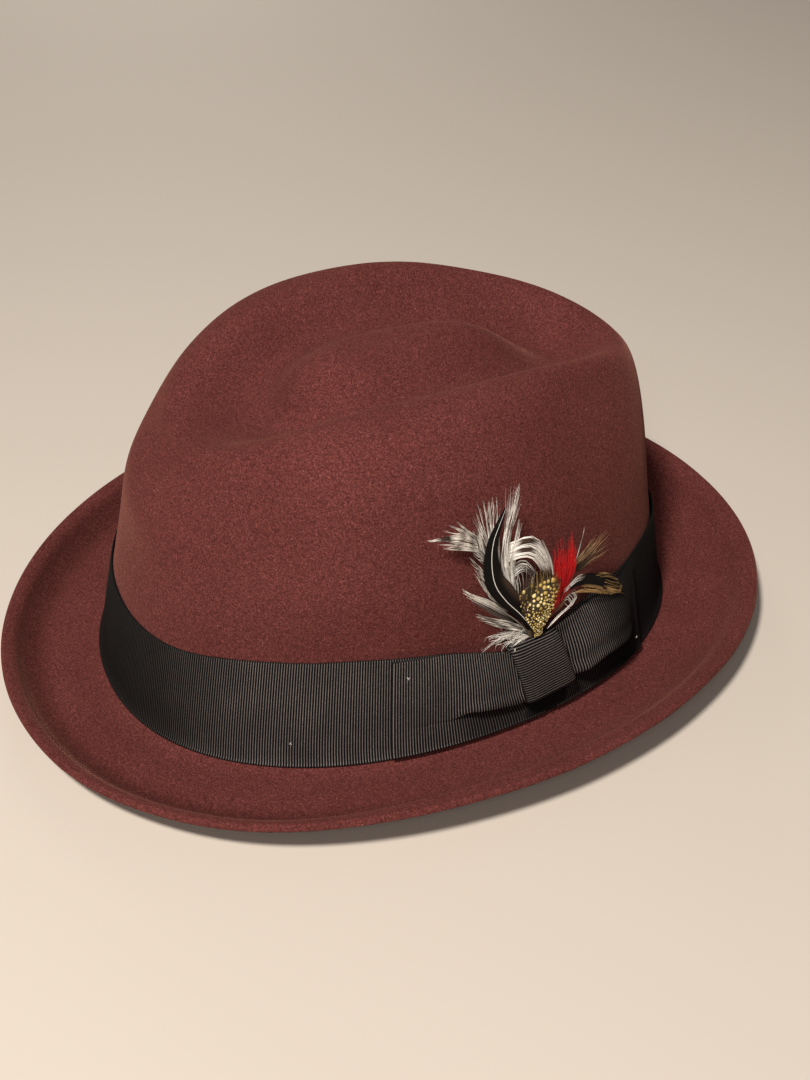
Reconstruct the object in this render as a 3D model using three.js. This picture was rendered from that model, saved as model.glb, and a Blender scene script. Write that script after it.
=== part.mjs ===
// Short-brim teardrop felt hat with a grosgrain band, a flat ribbon bow and a bunch of feathers.
// Millimetres, +Z up, front of the hat towards -Y, wearer's right towards -X.
// z = 0 is the level the brim rests on; x = y = 0 is the middle of the head oval.
import * as THREE from "three";

// ---- felt body ----
const FELT = 2.5; // thickness of the felt
const BREAK_Z = 4.2; // mean height of the line where the crown meets the brim
const BREAK_DIP = 2.2; // that line is lower at front and back and higher at the sides
const HEAD_LENGTH = 211.3; // head oval at the break, outside the ribbon
const HEAD_WIDTH = 168.2;
const HEAD_POWER = 2.12; // superellipse exponent of the head oval
const BRIM_WIDTH = 32.6;
const BRIM_RISE = 11.5; // mean height of the raw edge over the break
const PINCH_ANGLE = 55; // degrees from straight ahead to each front dent
const PINCH_SPREAD = 19;

// Crown stations from the band up to the crease. front, back and half are the distances
// from the middle; zFront, zSide and zBack are heights over the break.
const CROWN = [
  { front: 99, back: 96, half: 77, zFront: 37.5, zSide: 39.5, zBack: 37.5, nF: 2.1, nB: 2.1, egg: 0, dent: 0.2 },
  { front: 96, back: 91, half: 75, zFront: 59, zSide: 62, zBack: 57.5, nF: 2.1, nB: 2.1, egg: 0, dent: 1.8 },
  { front: 93.5, back: 86.5, half: 69, zFront: 76, zSide: 84.5, zBack: 73, nF: 2.1, nB: 2, egg: 0, dent: 4.5 },
  { front: 91, back: 76, half: 58.5, zFront: 89, zSide: 104, zBack: 84.5, nF: 2.1, nB: 2.1, egg: 0.05, dent: 4.5 },
  // crest of the rim round the teardrop
  { front: 82.5, back: 68.5, half: 43, zFront: 93.5, zSide: 111, zBack: 92, nF: 2.3, nB: 2.3, egg: -0.06, dent: 2 },
  // bottom of the groove inside it
  { front: 63, back: 43.5, half: 27.5, zFront: 85, zSide: 98, zBack: 88, nF: 2.1, nB: 2.1, egg: 0.13, dent: 0.5 },
  // shoulder of the raised island in the middle
  { front: 35.5, back: 29.5, half: 10, zFront: 104, zSide: 106, zBack: 103.5, nF: 2, nB: 2, egg: 0.1, dent: 0 },
];
const ISLAND_TOP = new THREE.Vector3(0, 1, BREAK_Z + 108);

// ---- trim ----
const RIBBON_WIDTH = 38.6;
const RIBBON = 0.8; // thickness of the band
const BAND_OUT = 1.1; // outer face of the band over the felt
const BOW_BACK_END = -35; // arc positions along the band, measured from the wearer's right
const KNOT_BACK = 5; // towards the front
const KNOT_FRONT = 28.5;
const BOW_FRONT_END = 69;
const KNOT_OUT = 6.4;
const KNOT = 2;
const WING = 1.3;

// ---- inside ----
const SWEATBAND = 1;
const SWEATBAND_TOP = 36;
const SWEATBAND_BOTTOM = 4;
const LINING = 0.6;
const LINING_TIP_Z = 79;

// ---- feathers ----
const FEATHER = 0.6; // thickness of one feather, and the gap to the next layer
const LAYER_STEP = 1;
const FIRST_LAYER = 1.8;

const signedPower = (v, p) => Math.sign(v) * Math.abs(v) ** p;

function ovalPoint(t, front, back, half, nF, nB, egg) {
  const n = Math.sin(t) < 0 ? nF : nB;
  const u = signedPower(Math.sin(t), 2 / n);
  const x = half * signedPower(Math.cos(t), 2 / n) * (1 + egg * u);
  return [x, u < 0 ? u * front : u * back];
}

const headOval = (t) =>
  ovalPoint(t, HEAD_LENGTH / 2, HEAD_LENGTH / 2, HEAD_WIDTH / 2, HEAD_POWER, HEAD_POWER, 0);

const breakHeight = (t) => BREAK_DIP * Math.cos(2 * t);

// The rings that shape the felt at angle t, from the raw edge of the brim to the crown's middle.
function controlPoints(t) {
  const s = Math.sin(t);
  const c2 = Math.cos(2 * t);
  const [bx, by] = headOval(t);
  const [x1, y1] = headOval(t + 1e-4);
  const [x0, y0] = headOval(t - 1e-4);
  const run = Math.hypot(x1 - x0, y1 - y0);
  const [nx, ny] = [(y1 - y0) / run, (x0 - x1) / run];
  const out = (d, h) => new THREE.Vector3(bx + nx * d, by + ny * d, BREAK_Z + h);
  const dip = breakHeight(t);
  const width = BRIM_WIDTH - 0.5 * c2;
  const edge = BRIM_RISE - 2.6 * s + 2.9 * c2;
  const points = [
    out(width, edge),
    out(width - 2.2, edge - 1.7),
    out(width - 6, edge - 4.9),
    out(width * 0.6, dip + (edge - dip) * 0.27),
    out(width * 0.3, dip + (edge - dip) * 0.06),
    out(2.8, dip - 0.1),
    out(-0.4, dip + 1.5),
    out(-1.7, dip + 5.5),
  ];
  let off = ((THREE.MathUtils.radToDeg(t) + 90 + 180) % 360) - 180;
  if (off < -180) off += 360;
  const dent = Math.exp(-(((Math.abs(off) - PINCH_ANGLE) / PINCH_SPREAD) ** 2));
  for (const k of CROWN) {
    const [x, y] = ovalPoint(t, k.front, k.back, k.half, k.nF, k.nB, k.egg);
    const f = 1 - (k.dent * dent) / Math.hypot(x, y);
    const end = s < 0 ? k.zFront : k.zBack;
    points.push(new THREE.Vector3(x * f, y * f, BREAK_Z + k.zSide + (end - k.zSide) * s * s));
  }
  points.push(ISLAND_TOP.clone());
  return points;
}

// Spline parameter of each ring: the square root of the mean distance between rings.
const KNOTS = (() => {
  const count = 72;
  const rings = Array.from({ length: count }, (_, i) => controlPoints((2 * Math.PI * i) / count));
  const knots = [0];
  for (let r = 1; r < rings[0].length; r++) {
    let sum = 0;
    for (const ring of rings) sum += ring[r].distanceTo(ring[r - 1]);
    knots.push(knots[r - 1] + Math.sqrt(sum / count));
  }
  return knots;
})();

// Natural cubic spline through the rings at angle t.
function meridian(t) {
  const p = controlPoints(t);
  const n = p.length;
  const h = KNOTS.slice(1).map((k, i) => k - KNOTS[i]);
  const second = Array.from({ length: n }, () => new THREE.Vector3());
  const c = new Array(n).fill(0);
  const d = Array.from({ length: n }, () => new THREE.Vector3());
  for (let i = 1; i < n - 1; i++) {
    const rise = p[i + 1].clone().sub(p[i]).divideScalar(h[i]);
    const fall = p[i].clone().sub(p[i - 1]).divideScalar(h[i - 1]);
    const w = 2 * (h[i - 1] + h[i]) - h[i - 1] * c[i - 1];
    c[i] = h[i] / w;
    d[i] = rise.sub(fall).multiplyScalar(6).addScaledVector(d[i - 1], -h[i - 1]).divideScalar(w);
  }
  for (let i = n - 2; i > 0; i--) second[i] = d[i].clone().addScaledVector(second[i + 1], -c[i]);
  return (u) => {
    let i = 0;
    while (i < n - 2 && u > KNOTS[i + 1]) i++;
    const a = (KNOTS[i + 1] - u) / h[i];
    const b = (u - KNOTS[i]) / h[i];
    return p[i]
      .clone()
      .multiplyScalar(a)
      .addScaledVector(p[i + 1], b)
      .addScaledVector(second[i], ((a ** 3 - a) * h[i] * h[i]) / 6)
      .addScaledVector(second[i + 1], ((b ** 3 - b) * h[i] * h[i]) / 6);
  };
}

// Arc length along the head oval from the wearer's right (t = 180 degrees), positive to the front.
const ARC = (() => {
  const steps = 720;
  const table = [[Math.PI, 0]];
  for (const way of [1, -1]) {
    let s = 0;
    for (let i = 1; i <= steps / 2; i++) {
      const t = Math.PI + (way * 2 * Math.PI * i) / steps;
      const [x1, y1] = headOval(t);
      const [x0, y0] = headOval(t - (way * 2 * Math.PI) / steps);
      s += way * Math.hypot(x1 - x0, y1 - y0);
      table.push([t, s]);
    }
  }
  return table.sort((a, b) => a[1] - b[1]);
})();

function angleAt(s) {
  let i = 1;
  while (i < ARC.length - 1 && ARC[i][1] < s) i++;
  const f = (s - ARC[i - 1][1]) / (ARC[i][1] - ARC[i - 1][1]);
  return ARC[i - 1][0] + f * (ARC[i][0] - ARC[i - 1][0]);
}

// Point over the crown wall: angle t, height h over the break line, distance off out of the felt.
function wallAtAngle(t, h, off) {
  const z = BREAK_Z + breakHeight(t) + h;
  const curve = meridian(t);
  let low = KNOTS[5];
  let high = KNOTS[11];
  for (let k = 0; k < 30; k++) {
    const u = (low + high) / 2;
    if (curve(u).z < z) low = u;
    else high = u;
  }
  const point = curve(low);
  const up = curve(low + 0.02).sub(curve(low - 0.02));
  const along = meridian(t + 0.004)(low).sub(meridian(t - 0.004)(low));
  const normal = along.cross(up).normalize();
  return point.addScaledVector(normal, off);
}

const wallPoint = (s, h, off) => wallAtAngle(angleAt(s), h, off);

// Solid between two offsets of a grid of points: rows[i][j]; wrap closes it along j.
// With pole set the last row is one point.
function sheetSolid(rows, inner, outer, { wrap = false, pole = false, floor = -Infinity } = {}) {
  const m = rows.length;
  const n = rows[0].length;
  const col = (j) => (wrap ? (j + n) % n : Math.min(Math.max(j, 0), n - 1));
  const row = (i) => Math.min(Math.max(i, 0), m - 1);
  const normalAt = (i, j) => {
    if (pole && i === m - 1) return new THREE.Vector3(0, 0, 1);
    const a = rows[row(i + 1)][j].clone().sub(rows[row(i - 1)][j]);
    const b = rows[i][col(j + 1)].clone().sub(rows[i][col(j - 1)]);
    return b.cross(a).normalize();
  };
  const vertices = [];
  const put = (v) => {
    vertices.push(v.x, v.y, Math.max(v.z, floor));
    return vertices.length / 3 - 1;
  };
  const layer = (off) =>
    rows.map((points, i) => {
      if (pole && i === m - 1) {
        const id = put(points[0].clone().addScaledVector(normalAt(i, 0), off));
        return points.map(() => id);
      }
      return points.map((p, j) => put(p.clone().addScaledVector(normalAt(i, j), off)));
    });
  const top = layer(outer);
  const bottom = layer(inner);
  const faces = [];
  const quad = (a, b, c, d) => {
    if (new Set([a, b, c]).size === 3) faces.push(a, b, c);
    if (new Set([a, c, d]).size === 3) faces.push(a, c, d);
  };
  const columns = wrap ? n : n - 1;
  for (let i = 0; i < m - 1; i++) {
    for (let j = 0; j < columns; j++) {
      const k = col(j + 1);
      quad(top[i][j], top[i][k], top[i + 1][k], top[i + 1][j]);
      quad(bottom[i][j], bottom[i + 1][j], bottom[i + 1][k], bottom[i][k]);
    }
  }
  for (let j = 0; j < columns; j++) {
    const k = col(j + 1);
    quad(bottom[0][j], bottom[0][k], top[0][k], top[0][j]);
    if (!pole) quad(top[m - 1][j], top[m - 1][k], bottom[m - 1][k], bottom[m - 1][j]);
  }
  if (!wrap) {
    for (let i = 0; i < m - 1; i++) {
      quad(bottom[i][0], top[i][0], top[i + 1][0], bottom[i + 1][0]);
      quad(top[i][n - 1], bottom[i][n - 1], bottom[i + 1][n - 1], top[i + 1][n - 1]);
    }
  }
  const geometry = new THREE.BufferGeometry();
  geometry.setAttribute("position", new THREE.Float32BufferAttribute(vertices, 3));
  geometry.setIndex(faces);
  geometry.computeVertexNormals();
  return geometry;
}

const steps = (count, from, to) =>
  Array.from({ length: count + 1 }, (_, i) => from + ((to - from) * i) / count);

const turn = (count) => steps(count, 0, 2 * Math.PI).slice(0, -1);

const fabric = (color, roughness = 0.9) =>
  new THREE.MeshStandardMaterial({ color, roughness, metalness: 0, side: THREE.DoubleSide });

const FELT_BROWN = fabric(0x4a211f, 0.95);
const BLACK_RIBBON = fabric(0x17161a, 0.75);
const TAN_LEATHER = fabric(0x6b4a33, 0.6);
const BLACK_SATIN = fabric(0x201c1e, 0.45);
const WHITE = fabric(0xe6e0d4, 0.8);
const BLACK_FEATHER = fabric(0x14110f, 0.5);
const BROWN_FEATHER = fabric(0x7a5a38, 0.7);
const RED_FEATHER = fabric(0xc8201c, 0.7);
const GOLD_PAD = fabric(0x3a2a18, 0.6);
const THREAD = fabric(0xd9d3c6, 0.8);

const hat = new THREE.Group();

function add(name, geometry, material) {
  const mesh = new THREE.Mesh(geometry, material);
  mesh.name = name;
  hat.add(mesh);
  return mesh;
}

// ---- felt: one sheet, brim edge to crown middle ----
const FELT_TURN = 56;
const FELT_SPLITS = [1, 2, 2, 2, 2, 1, 1, 3, 2, 2, 2, 2, 2, 2, 2];
const feltHeights = [];
FELT_SPLITS.forEach((count, i) => {
  for (let k = 0; k < count; k++)
    feltHeights.push(KNOTS[i] + ((KNOTS[i + 1] - KNOTS[i]) * k) / count);
});
feltHeights.push(KNOTS[KNOTS.length - 1]);
const feltMeridians = turn(FELT_TURN).map((t) => meridian(t));
const feltRows = feltHeights.map((u) => feltMeridians.map((curve) => curve(u)));
add("felt_body", sheetSolid(feltRows, -FELT, 0, { wrap: true, pole: true, floor: 0 }), FELT_BROWN);

// ---- ribbon band all round ----
const BAND_TURN = 56;
const ring = (heights, off) =>
  heights.map((h) => turn(BAND_TURN).map((t) => wallAtAngle(t, h, off)));
add(
  "ribbon_band",
  sheetSolid(ring(steps(3, 3, RIBBON_WIDTH), BAND_OUT - RIBBON / 2), -RIBBON / 2, RIBBON / 2, { wrap: true }),
  BLACK_RIBBON,
);

// A patch of ribbon over the wall. left and right give [arc, bottom, top] at its two ends.
function patch(left, right, off, thick, { across = 3, along = 6, bulge = 0 } = {}) {
  const rows = steps(across, 0, 1).map((v) =>
    steps(along, 0, 1).map((w) => {
      const lean = left.lean * (1 - w) + right.lean * w;
      const s = left.s + (right.s - left.s) * w + lean * (v - 0.5);
      const low = left.low + (right.low - left.low) * w;
      const high = left.high + (right.high - left.high) * w;
      const out = off + bulge * Math.sin(Math.PI * w) * Math.sin(Math.PI * v);
      return wallPoint(s, low + (high - low) * v, out);
    }),
  );
  return sheetSolid(rows, 0, thick);
}

add(
  "bow_wing_back",
  patch(
    { s: BOW_BACK_END, low: 2.6, high: 38.6, lean: 0 },
    { s: KNOT_BACK + 6, low: 4.5, high: 34, lean: -6 },
    1.5,
    WING,
    { along: 7, bulge: 0.9 },
  ),
  BLACK_RIBBON,
);
add(
  "bow_wing_front",
  patch(
    { s: KNOT_FRONT - 2.5, low: 4.5, high: 35, lean: -6 },
    { s: BOW_FRONT_END, low: 2.8, high: 38, lean: 2 },
    1.5,
    WING,
    { along: 7, bulge: 0.9 },
  ),
  BLACK_RIBBON,
);
add(
  "bow_knot",
  patch(
    { s: KNOT_BACK + 3, low: 3.4, high: 35, lean: -5 },
    { s: KNOT_FRONT - 0.5, low: 3.4, high: 36, lean: -5 },
    KNOT_OUT - KNOT,
    KNOT,
    { along: 6 },
  ),
  BLACK_RIBBON,
);

// ---- tack stitches that hold the ribbon and the bow ----
const TACKS = [
  ["tack_band_rear", -68, 10, 1.5],
  ["tack_bow_back", -30, 32, 3.4],
  ["tack_knot", 8.5, 33, KNOT_OUT + 0.4],
  ["tack_bow_front", 66, 8, 3.4],
];
for (const [name, s, h, off] of TACKS) {
  add(name, patch({ s: s - 1.1, low: h, high: h + 0.7, lean: 0 }, { s: s + 1.1, low: h, high: h + 0.7, lean: 0 },
    off, 0.5, { across: 1, along: 1 }), THREAD);
}

// ---- sweatband, its reed and its stitching ----
const SWEAT_OFF = -(FELT + 0.3 + LINING + 0.3);
add(
  "sweatband",
  sheetSolid(ring(steps(3, SWEATBAND_BOTTOM, SWEATBAND_TOP), SWEAT_OFF - SWEATBAND), 0, SWEATBAND, { wrap: true }),
  TAN_LEATHER,
);

// A cord of radius r round the inside of the wall.
function cord(h, off, r) {
  const points = turn(BAND_TURN).map((t) => wallAtAngle(t, h, off));
  const rows = steps(5, 0, 2 * Math.PI)
    .slice(0, -1)
    .map((a) =>
      points.map((p, j) => {
        const q = points[(j + 1) % points.length];
        const o = points[(j + points.length - 1) % points.length];
        const out = q.clone().sub(o).cross(new THREE.Vector3(0, 0, 1)).normalize();
        return p.clone().addScaledVector(out, r * Math.cos(a)).add(new THREE.Vector3(0, 0, r * Math.sin(a)));
      }),
    );
  const m = rows.length;
  const n = points.length;
  const vertices = rows.flat().flatMap((v) => [v.x, v.y, v.z]);
  const faces = [];
  for (let i = 0; i < m; i++) {
    for (let j = 0; j < n; j++) {
      const [a, b] = [i * n + j, i * n + ((j + 1) % n)];
      const [c, d] = [((i + 1) % m) * n + ((j + 1) % n), ((i + 1) % m) * n + j];
      faces.push(a, b, c, a, c, d);
    }
  }
  const geometry = new THREE.BufferGeometry();
  geometry.setAttribute("position", new THREE.Float32BufferAttribute(vertices, 3));
  geometry.setIndex(faces);
  geometry.computeVertexNormals();
  return geometry;
}

add("sweatband_reed", cord(2.6, SWEAT_OFF - 0.5, 0.8), TAN_LEATHER);
add("sweatband_stitching", cord(7, SWEAT_OFF - SWEATBAND - 0.7, 0.35), THREAD);

// ---- lining: side wall tucked behind the sweatband, and the flat tip over it ----
const tipOval = (t, scale) => {
  const [x, y] = ovalPoint(t, 84 * scale, 73 * scale, 60 * scale, 2.1, 2.1, 0);
  return [x, y];
};
const liningRows = [26, 32, 38, 54, 66].map((h, i) =>
  turn(BAND_TURN).map((t) => wallAtAngle(t, h, -(FELT + 0.3 + LINING) - [0, 0, 0, 2.2, 5][i])),
);
liningRows.push(
  turn(BAND_TURN).map((t) => {
    const [x, y] = tipOval(t, 1);
    return new THREE.Vector3(x, y, BREAK_Z + LINING_TIP_Z - 0.6);
  }),
);
add("lining_side", sheetSolid(liningRows, 0, LINING, { wrap: true }), BLACK_SATIN);
const tipRows = [0.98, 0.5, 0].map((scale) =>
  turn(BAND_TURN).map((t) => {
    const [x, y] = tipOval(t, scale);
    return new THREE.Vector3(x, y, BREAK_Z + LINING_TIP_Z - 0.6);
  }),
);
add("lining_tip", sheetSolid(tipRows, 0, LINING, { wrap: true, pole: true }), BLACK_SATIN);

// ---- blank size tag tucked inside the back of the sweatband ----
const REAR = ARC[ARC.length - 1][1] - 4;
add(
  "size_tag",
  patch({ s: REAR - 14, low: 20, high: 34, lean: 0 }, { s: REAR, low: 20, high: 34, lean: 0 },
    SWEAT_OFF - SWEATBAND - 0.9, 0.4, { across: 2, along: 3 }),
  WHITE,
);

// ---- feathers: thin curved blades in layers over the wall ----
// spine holds points [arc, height, extra distance from the wall]; width is the widest part.
const FLARE_FROM = 40; // the bunch leans away from the crown above this height
const FLARE = 4; // by this much at the tallest tip
const flare = (h) => FLARE * (Math.max(h - FLARE_FROM, 0) / 50) ** 1.2;

function blade(spine, layer, width, { widest = 0.5, tip = 0.8, count = 9 } = {}) {
  const curve = new THREE.CatmullRomCurve3(spine.map(([s, h, o]) => new THREE.Vector3(s, h, o)));
  const off = FIRST_LAYER + layer * LAYER_STEP;
  const rows = steps(count, 0, 1).map((v) => {
    const p = curve.getPoint(v);
    const d = curve.getTangent(v);
    const side = new THREE.Vector2(d.y, -d.x).normalize();
    const bell = v < widest ? Math.sin((Math.PI / 2) * (v / widest)) : Math.cos((Math.PI / 2) * ((v - widest) / (1 - widest)));
    const half = (tip + (width - tip) * Math.max(bell, 0)) / 2;
    return [-half, 0, half].map((w) => wallPoint(p.x + side.x * w, p.y + side.y * w, off + p.z + flare(p.y + side.y * w)));
  });
  return sheetSolid(rows, 0, FEATHER);
}

const FEATHERS = [
  ["down_fluff", [[11, 40, 0], [4, 41.5, 0], [-5, 42, 0]], 6, WHITE, { widest: 0.55 }],
  ["hackle_barred_left", [[13, 40, 0], [7, 58, 0], [-4, 74, 0], [-22, 79.5, 2]], 12, WHITE, { widest: 0.6 }],
  ["feather_white_arc", [[16, 40, 0], [17, 52, 0], [16, 64, 0], [24, 70, 0]], 11, WHITE, { widest: 0.6 }],
  ["hackle_tan", [[20, 40, 0], [31, 48, 0], [42, 58, 0]], 9, BROWN_FEATHER, { widest: 0.6 }],
  ["hackle_white_tall", [[14, 40, 0], [10, 56, 0], [8, 72, 0], [12, 89, 0]], 11, WHITE, { widest: 0.6 }],
  ["hackle_low_upper", [[11, 40, 0], [2, 50, 0], [-13, 65, 0]], 8, WHITE, { widest: 0.5 }],
  ["feather_black_biot", [[14, 40, 0], [3, 52, 0], [-3, 68, 0], [4, 84, 0]], 7, BLACK_FEATHER, { widest: 0.45 }],
  ["hackle_low_lower", [[10, 40, 0], [1, 46, 0], [-11, 56, 0]], 7, WHITE, { widest: 0.5 }],
  ["feather_dark_front", [[21, 40, 0], [36, 45, 0], [54, 42, 0]], 9, BLACK_FEATHER, { widest: 0.6 }],
  ["feather_red", [[19, 40, 0], [25, 50, 0], [29, 68, 0]], 8, RED_FEATHER, { widest: 0.65 }],
  ["pad_speckled", [[15, 40, 0], [16, 48, 0], [17.5, 57, 0]], 15, GOLD_PAD, { widest: 0.8, tip: 4 }],
];
FEATHERS.forEach(([name, spine, width, material, shape], layer) => {
  add(name, blade(spine, layer, width, shape), material);
});

// Thread-wrapped quills that tuck down between the band and the knot.
add(
  "feather_quills",
  patch({ s: 14, low: 7, high: 35, lean: -4 }, { s: 19.5, low: 7, high: 35, lean: -4 }, 1.7, 1.6, { across: 4, along: 2 }),
  BROWN_FEATHER,
);

export default hat;
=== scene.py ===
import math
import random

import bpy
import numpy as np
from mathutils import Matrix, Vector


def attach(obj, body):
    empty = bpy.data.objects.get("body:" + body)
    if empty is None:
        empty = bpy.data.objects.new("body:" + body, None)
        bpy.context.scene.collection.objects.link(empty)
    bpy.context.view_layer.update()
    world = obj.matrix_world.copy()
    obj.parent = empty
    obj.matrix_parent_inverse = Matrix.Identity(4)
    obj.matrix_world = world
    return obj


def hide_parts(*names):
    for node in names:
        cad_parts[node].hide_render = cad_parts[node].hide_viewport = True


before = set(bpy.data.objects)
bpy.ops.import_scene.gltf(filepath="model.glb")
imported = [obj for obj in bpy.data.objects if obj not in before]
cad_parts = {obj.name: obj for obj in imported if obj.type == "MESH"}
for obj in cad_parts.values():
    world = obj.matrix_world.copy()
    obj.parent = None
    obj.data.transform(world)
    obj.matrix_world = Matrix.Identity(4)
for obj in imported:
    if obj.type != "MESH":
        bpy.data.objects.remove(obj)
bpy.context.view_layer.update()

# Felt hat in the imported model's frame: front towards -Y, wearer's right (bow side) towards -X.
# Shapes are worked out in millimetres and written to meshes in metres.
MM = 0.001


def unit(v):
    return v / np.linalg.norm(v, axis=-1, keepdims=True)


def around(count):
    """Angles of count even steps round a full turn."""
    return np.linspace(0, 2 * math.pi, count + 1)[:-1]


def hill(x, centre, spread):
    return np.exp(-(((x - centre) / spread) ** 2))


def smooth(x, low=0.0, high=1.0):
    x = np.clip((np.asarray(x, float) - low) / (high - low), 0, 1)
    return x * x * (3 - 2 * x)


# ---------------------------------------------------------------- hat surface

FELT = 2.5  # thickness
BREAK_Z = 4.2  # height of the break line, where brim and crown meet
BREAK_DIP = 2.2  # how far the break line rises at the sides and falls at front and back
HEAD_LENGTH = 211.3
HEAD_WIDTH = 168.2
HEAD_POWER = 2.12  # 2 is an ellipse, more is squarer
BRIM_WIDTH = 32.6
BRIM_RISE = 11.5
PINCH_ANGLE = 55  # degrees from straight ahead to the middle of each front dent
PINCH_SPREAD = 19
ISLAND_TOP = (0.0, 1.0, BREAK_Z + 108)
U_STEP = 0.01  # steps up and round the felt over which its normals are worked out
T_STEP = 0.003
WALL_RINGS = (5, 12)  # the control rings between which the wall's heights lie
HALVINGS = 26  # steps in which a height on the wall is found
ARC_STEPS = 1440

# Rings of the crown from the ribbon up: reach to front, back and sides, height in front, at the side
# and at the back, squareness of the front and back half, egg shape, and depth of the two front dents.
CROWN = [
    dict(front=99, back=96, half=77, z=(37.5, 39.5, 37.5), n=(2.1, 2.1), egg=0, dent=0.2),
    dict(front=96, back=91, half=75, z=(59, 62, 57.5), n=(2.1, 2.1), egg=0, dent=1.8),
    dict(front=93.5, back=86.5, half=69, z=(76, 84.5, 73), n=(2.1, 2.0), egg=0, dent=4.5),
    dict(front=91, back=76, half=58.5, z=(89, 104, 84.5), n=(2.1, 2.1), egg=0.05, dent=4.5),
    dict(front=82.5, back=68.5, half=43, z=(93.5, 111, 92), n=(2.3, 2.3), egg=-0.06, dent=2),
    dict(front=63, back=43.5, half=27.5, z=(85, 98, 88), n=(2.1, 2.1), egg=0.13, dent=0.5),
    dict(front=35.5, back=29.5, half=10, z=(104, 106, 103.5), n=(2, 2), egg=0.1, dent=0),
]


def signed_power(v, p):
    return np.sign(v) * np.abs(v) ** p


def oval(t, front, back, half, n, egg):
    s = np.sin(t)
    power = np.where(s < 0, n[0], n[1])
    u = signed_power(s, 2 / power)
    x = half * signed_power(np.cos(t), 2 / power) * (1 + egg * u)
    return x, np.where(s < 0, u * front, u * back)


def head_oval(t):
    return oval(t, HEAD_LENGTH / 2, HEAD_LENGTH / 2, HEAD_WIDTH / 2, (HEAD_POWER, HEAD_POWER), 0)


def break_height(t):
    return BREAK_DIP * np.cos(2 * t)


def control_rings(t):
    """Points that shape the felt at the angles t: rings from the brim's edge to the crown's middle."""
    s, c2 = np.sin(t), np.cos(2 * t)
    bx, by = head_oval(t)
    x1, y1 = head_oval(t + 1e-4)
    x0, y0 = head_oval(t - 1e-4)
    run = np.hypot(x1 - x0, y1 - y0)
    nx, ny = (y1 - y0) / run, (x0 - x1) / run

    def out(d, h):
        return np.stack([bx + nx * d, by + ny * d, BREAK_Z + h + 0 * t], -1)

    dip = break_height(t)
    width = BRIM_WIDTH - 0.5 * c2
    edge = BRIM_RISE - 2.6 * s + 2.9 * c2
    rings = [
        out(width, edge),
        out(width - 2.2, edge - 1.7),
        out(width - 6, edge - 4.9),
        out(width * 0.6, dip + (edge - dip) * 0.27),
        out(width * 0.3, dip + (edge - dip) * 0.06),
        out(2.8, dip - 0.1),
        out(-0.4, dip + 1.5),
        out(-1.7, dip + 5.5),
    ]
    ahead = (np.degrees(t) + 270) % 360 - 180
    dent = hill(np.abs(ahead), PINCH_ANGLE, PINCH_SPREAD)
    for k in CROWN:
        x, y = oval(t, k["front"], k["back"], k["half"], k["n"], k["egg"])
        f = 1 - k["dent"] * dent / np.hypot(x, y)
        ahead_z, side_z, back_z = k["z"]
        end = np.where(s < 0, ahead_z, back_z)
        rings.append(np.stack([x * f, y * f, BREAK_Z + side_z + (end - side_z) * s * s], -1))
    rings.append(np.broadcast_to(np.array(ISLAND_TOP), rings[0].shape))
    return np.array(rings)


def spline_setup():
    """Spline parameter of each ring, and the matrix that gives a natural spline's second derivatives."""
    rings = control_rings(around(72))
    gaps = np.linalg.norm(np.diff(rings, axis=0), axis=2).mean(1)
    knots = np.concatenate([[0], np.cumsum(np.sqrt(gaps))])
    n, h = len(knots), np.diff(knots)
    left, right = np.eye(n), np.zeros((n, n))
    for i in range(1, n - 1):
        left[i, i - 1 : i + 2] = h[i - 1], 2 * (h[i - 1] + h[i]), h[i]
        right[i, i - 1 : i + 2] = 6 / h[i - 1], -6 / h[i - 1] - 6 / h[i], 6 / h[i]
    return knots, np.linalg.solve(left, right)


KNOTS, SECOND = spline_setup()


class Felt:
    """The felt's outer surface at a set of angles t, one for each point asked for."""

    def __init__(self, t):
        self.p = control_rings(t)
        self.m = np.einsum("ij,jkl->ikl", SECOND, self.p)
        self.col = np.arange(len(t))

    def at(self, u):
        i = np.clip(np.searchsorted(KNOTS, u, side="right") - 1, 0, len(KNOTS) - 2)
        h = (KNOTS[i + 1] - KNOTS[i])[:, None]
        a = (KNOTS[i + 1] - u)[:, None] / h
        b = 1 - a
        c = self.col
        return (
            a * self.p[i, c]
            + b * self.p[i + 1, c]
            + ((a**3 - a) * self.m[i, c] + (b**3 - b) * self.m[i + 1, c]) * h * h / 6
        )


def felt_points(u, t):
    """Points and outward normals of the felt for arrays u and t of one shape."""
    shape = np.broadcast(u, t).shape
    u = np.broadcast_to(u, shape).ravel().astype(float)
    t = np.broadcast_to(t, shape).ravel().astype(float)
    here = Felt(t)
    point = here.at(u)
    up = here.at(np.minimum(u + U_STEP, KNOTS[-1])) - here.at(np.maximum(u - U_STEP, 0))
    along = Felt(t + T_STEP).at(u) - Felt(t - T_STEP).at(u)
    normal = np.cross(along, up)
    size = np.linalg.norm(normal, axis=1, keepdims=True)
    normal = np.where(size > 1e-9, normal / np.maximum(size, 1e-9), [0, 0, 1])
    return point.reshape(*shape, 3), normal.reshape(*shape, 3)


def arc_table():
    t = np.linspace(0, 2 * math.pi, ARC_STEPS + 1)
    x, y = head_oval(t)
    s = np.concatenate([[0], np.cumsum(np.hypot(np.diff(x), np.diff(y)))])
    return t, s, s[ARC_STEPS // 2]


ARC_T, ARC_S, ARC_RIGHT = arc_table()
PERIMETER = ARC_S[-1]


def angle_at(s):
    """Angle of the point s millimetres along the head oval from the wearer's right, towards the front."""
    return np.interp((np.asarray(s) + ARC_RIGHT) % PERIMETER, ARC_S, ARC_T)


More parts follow.
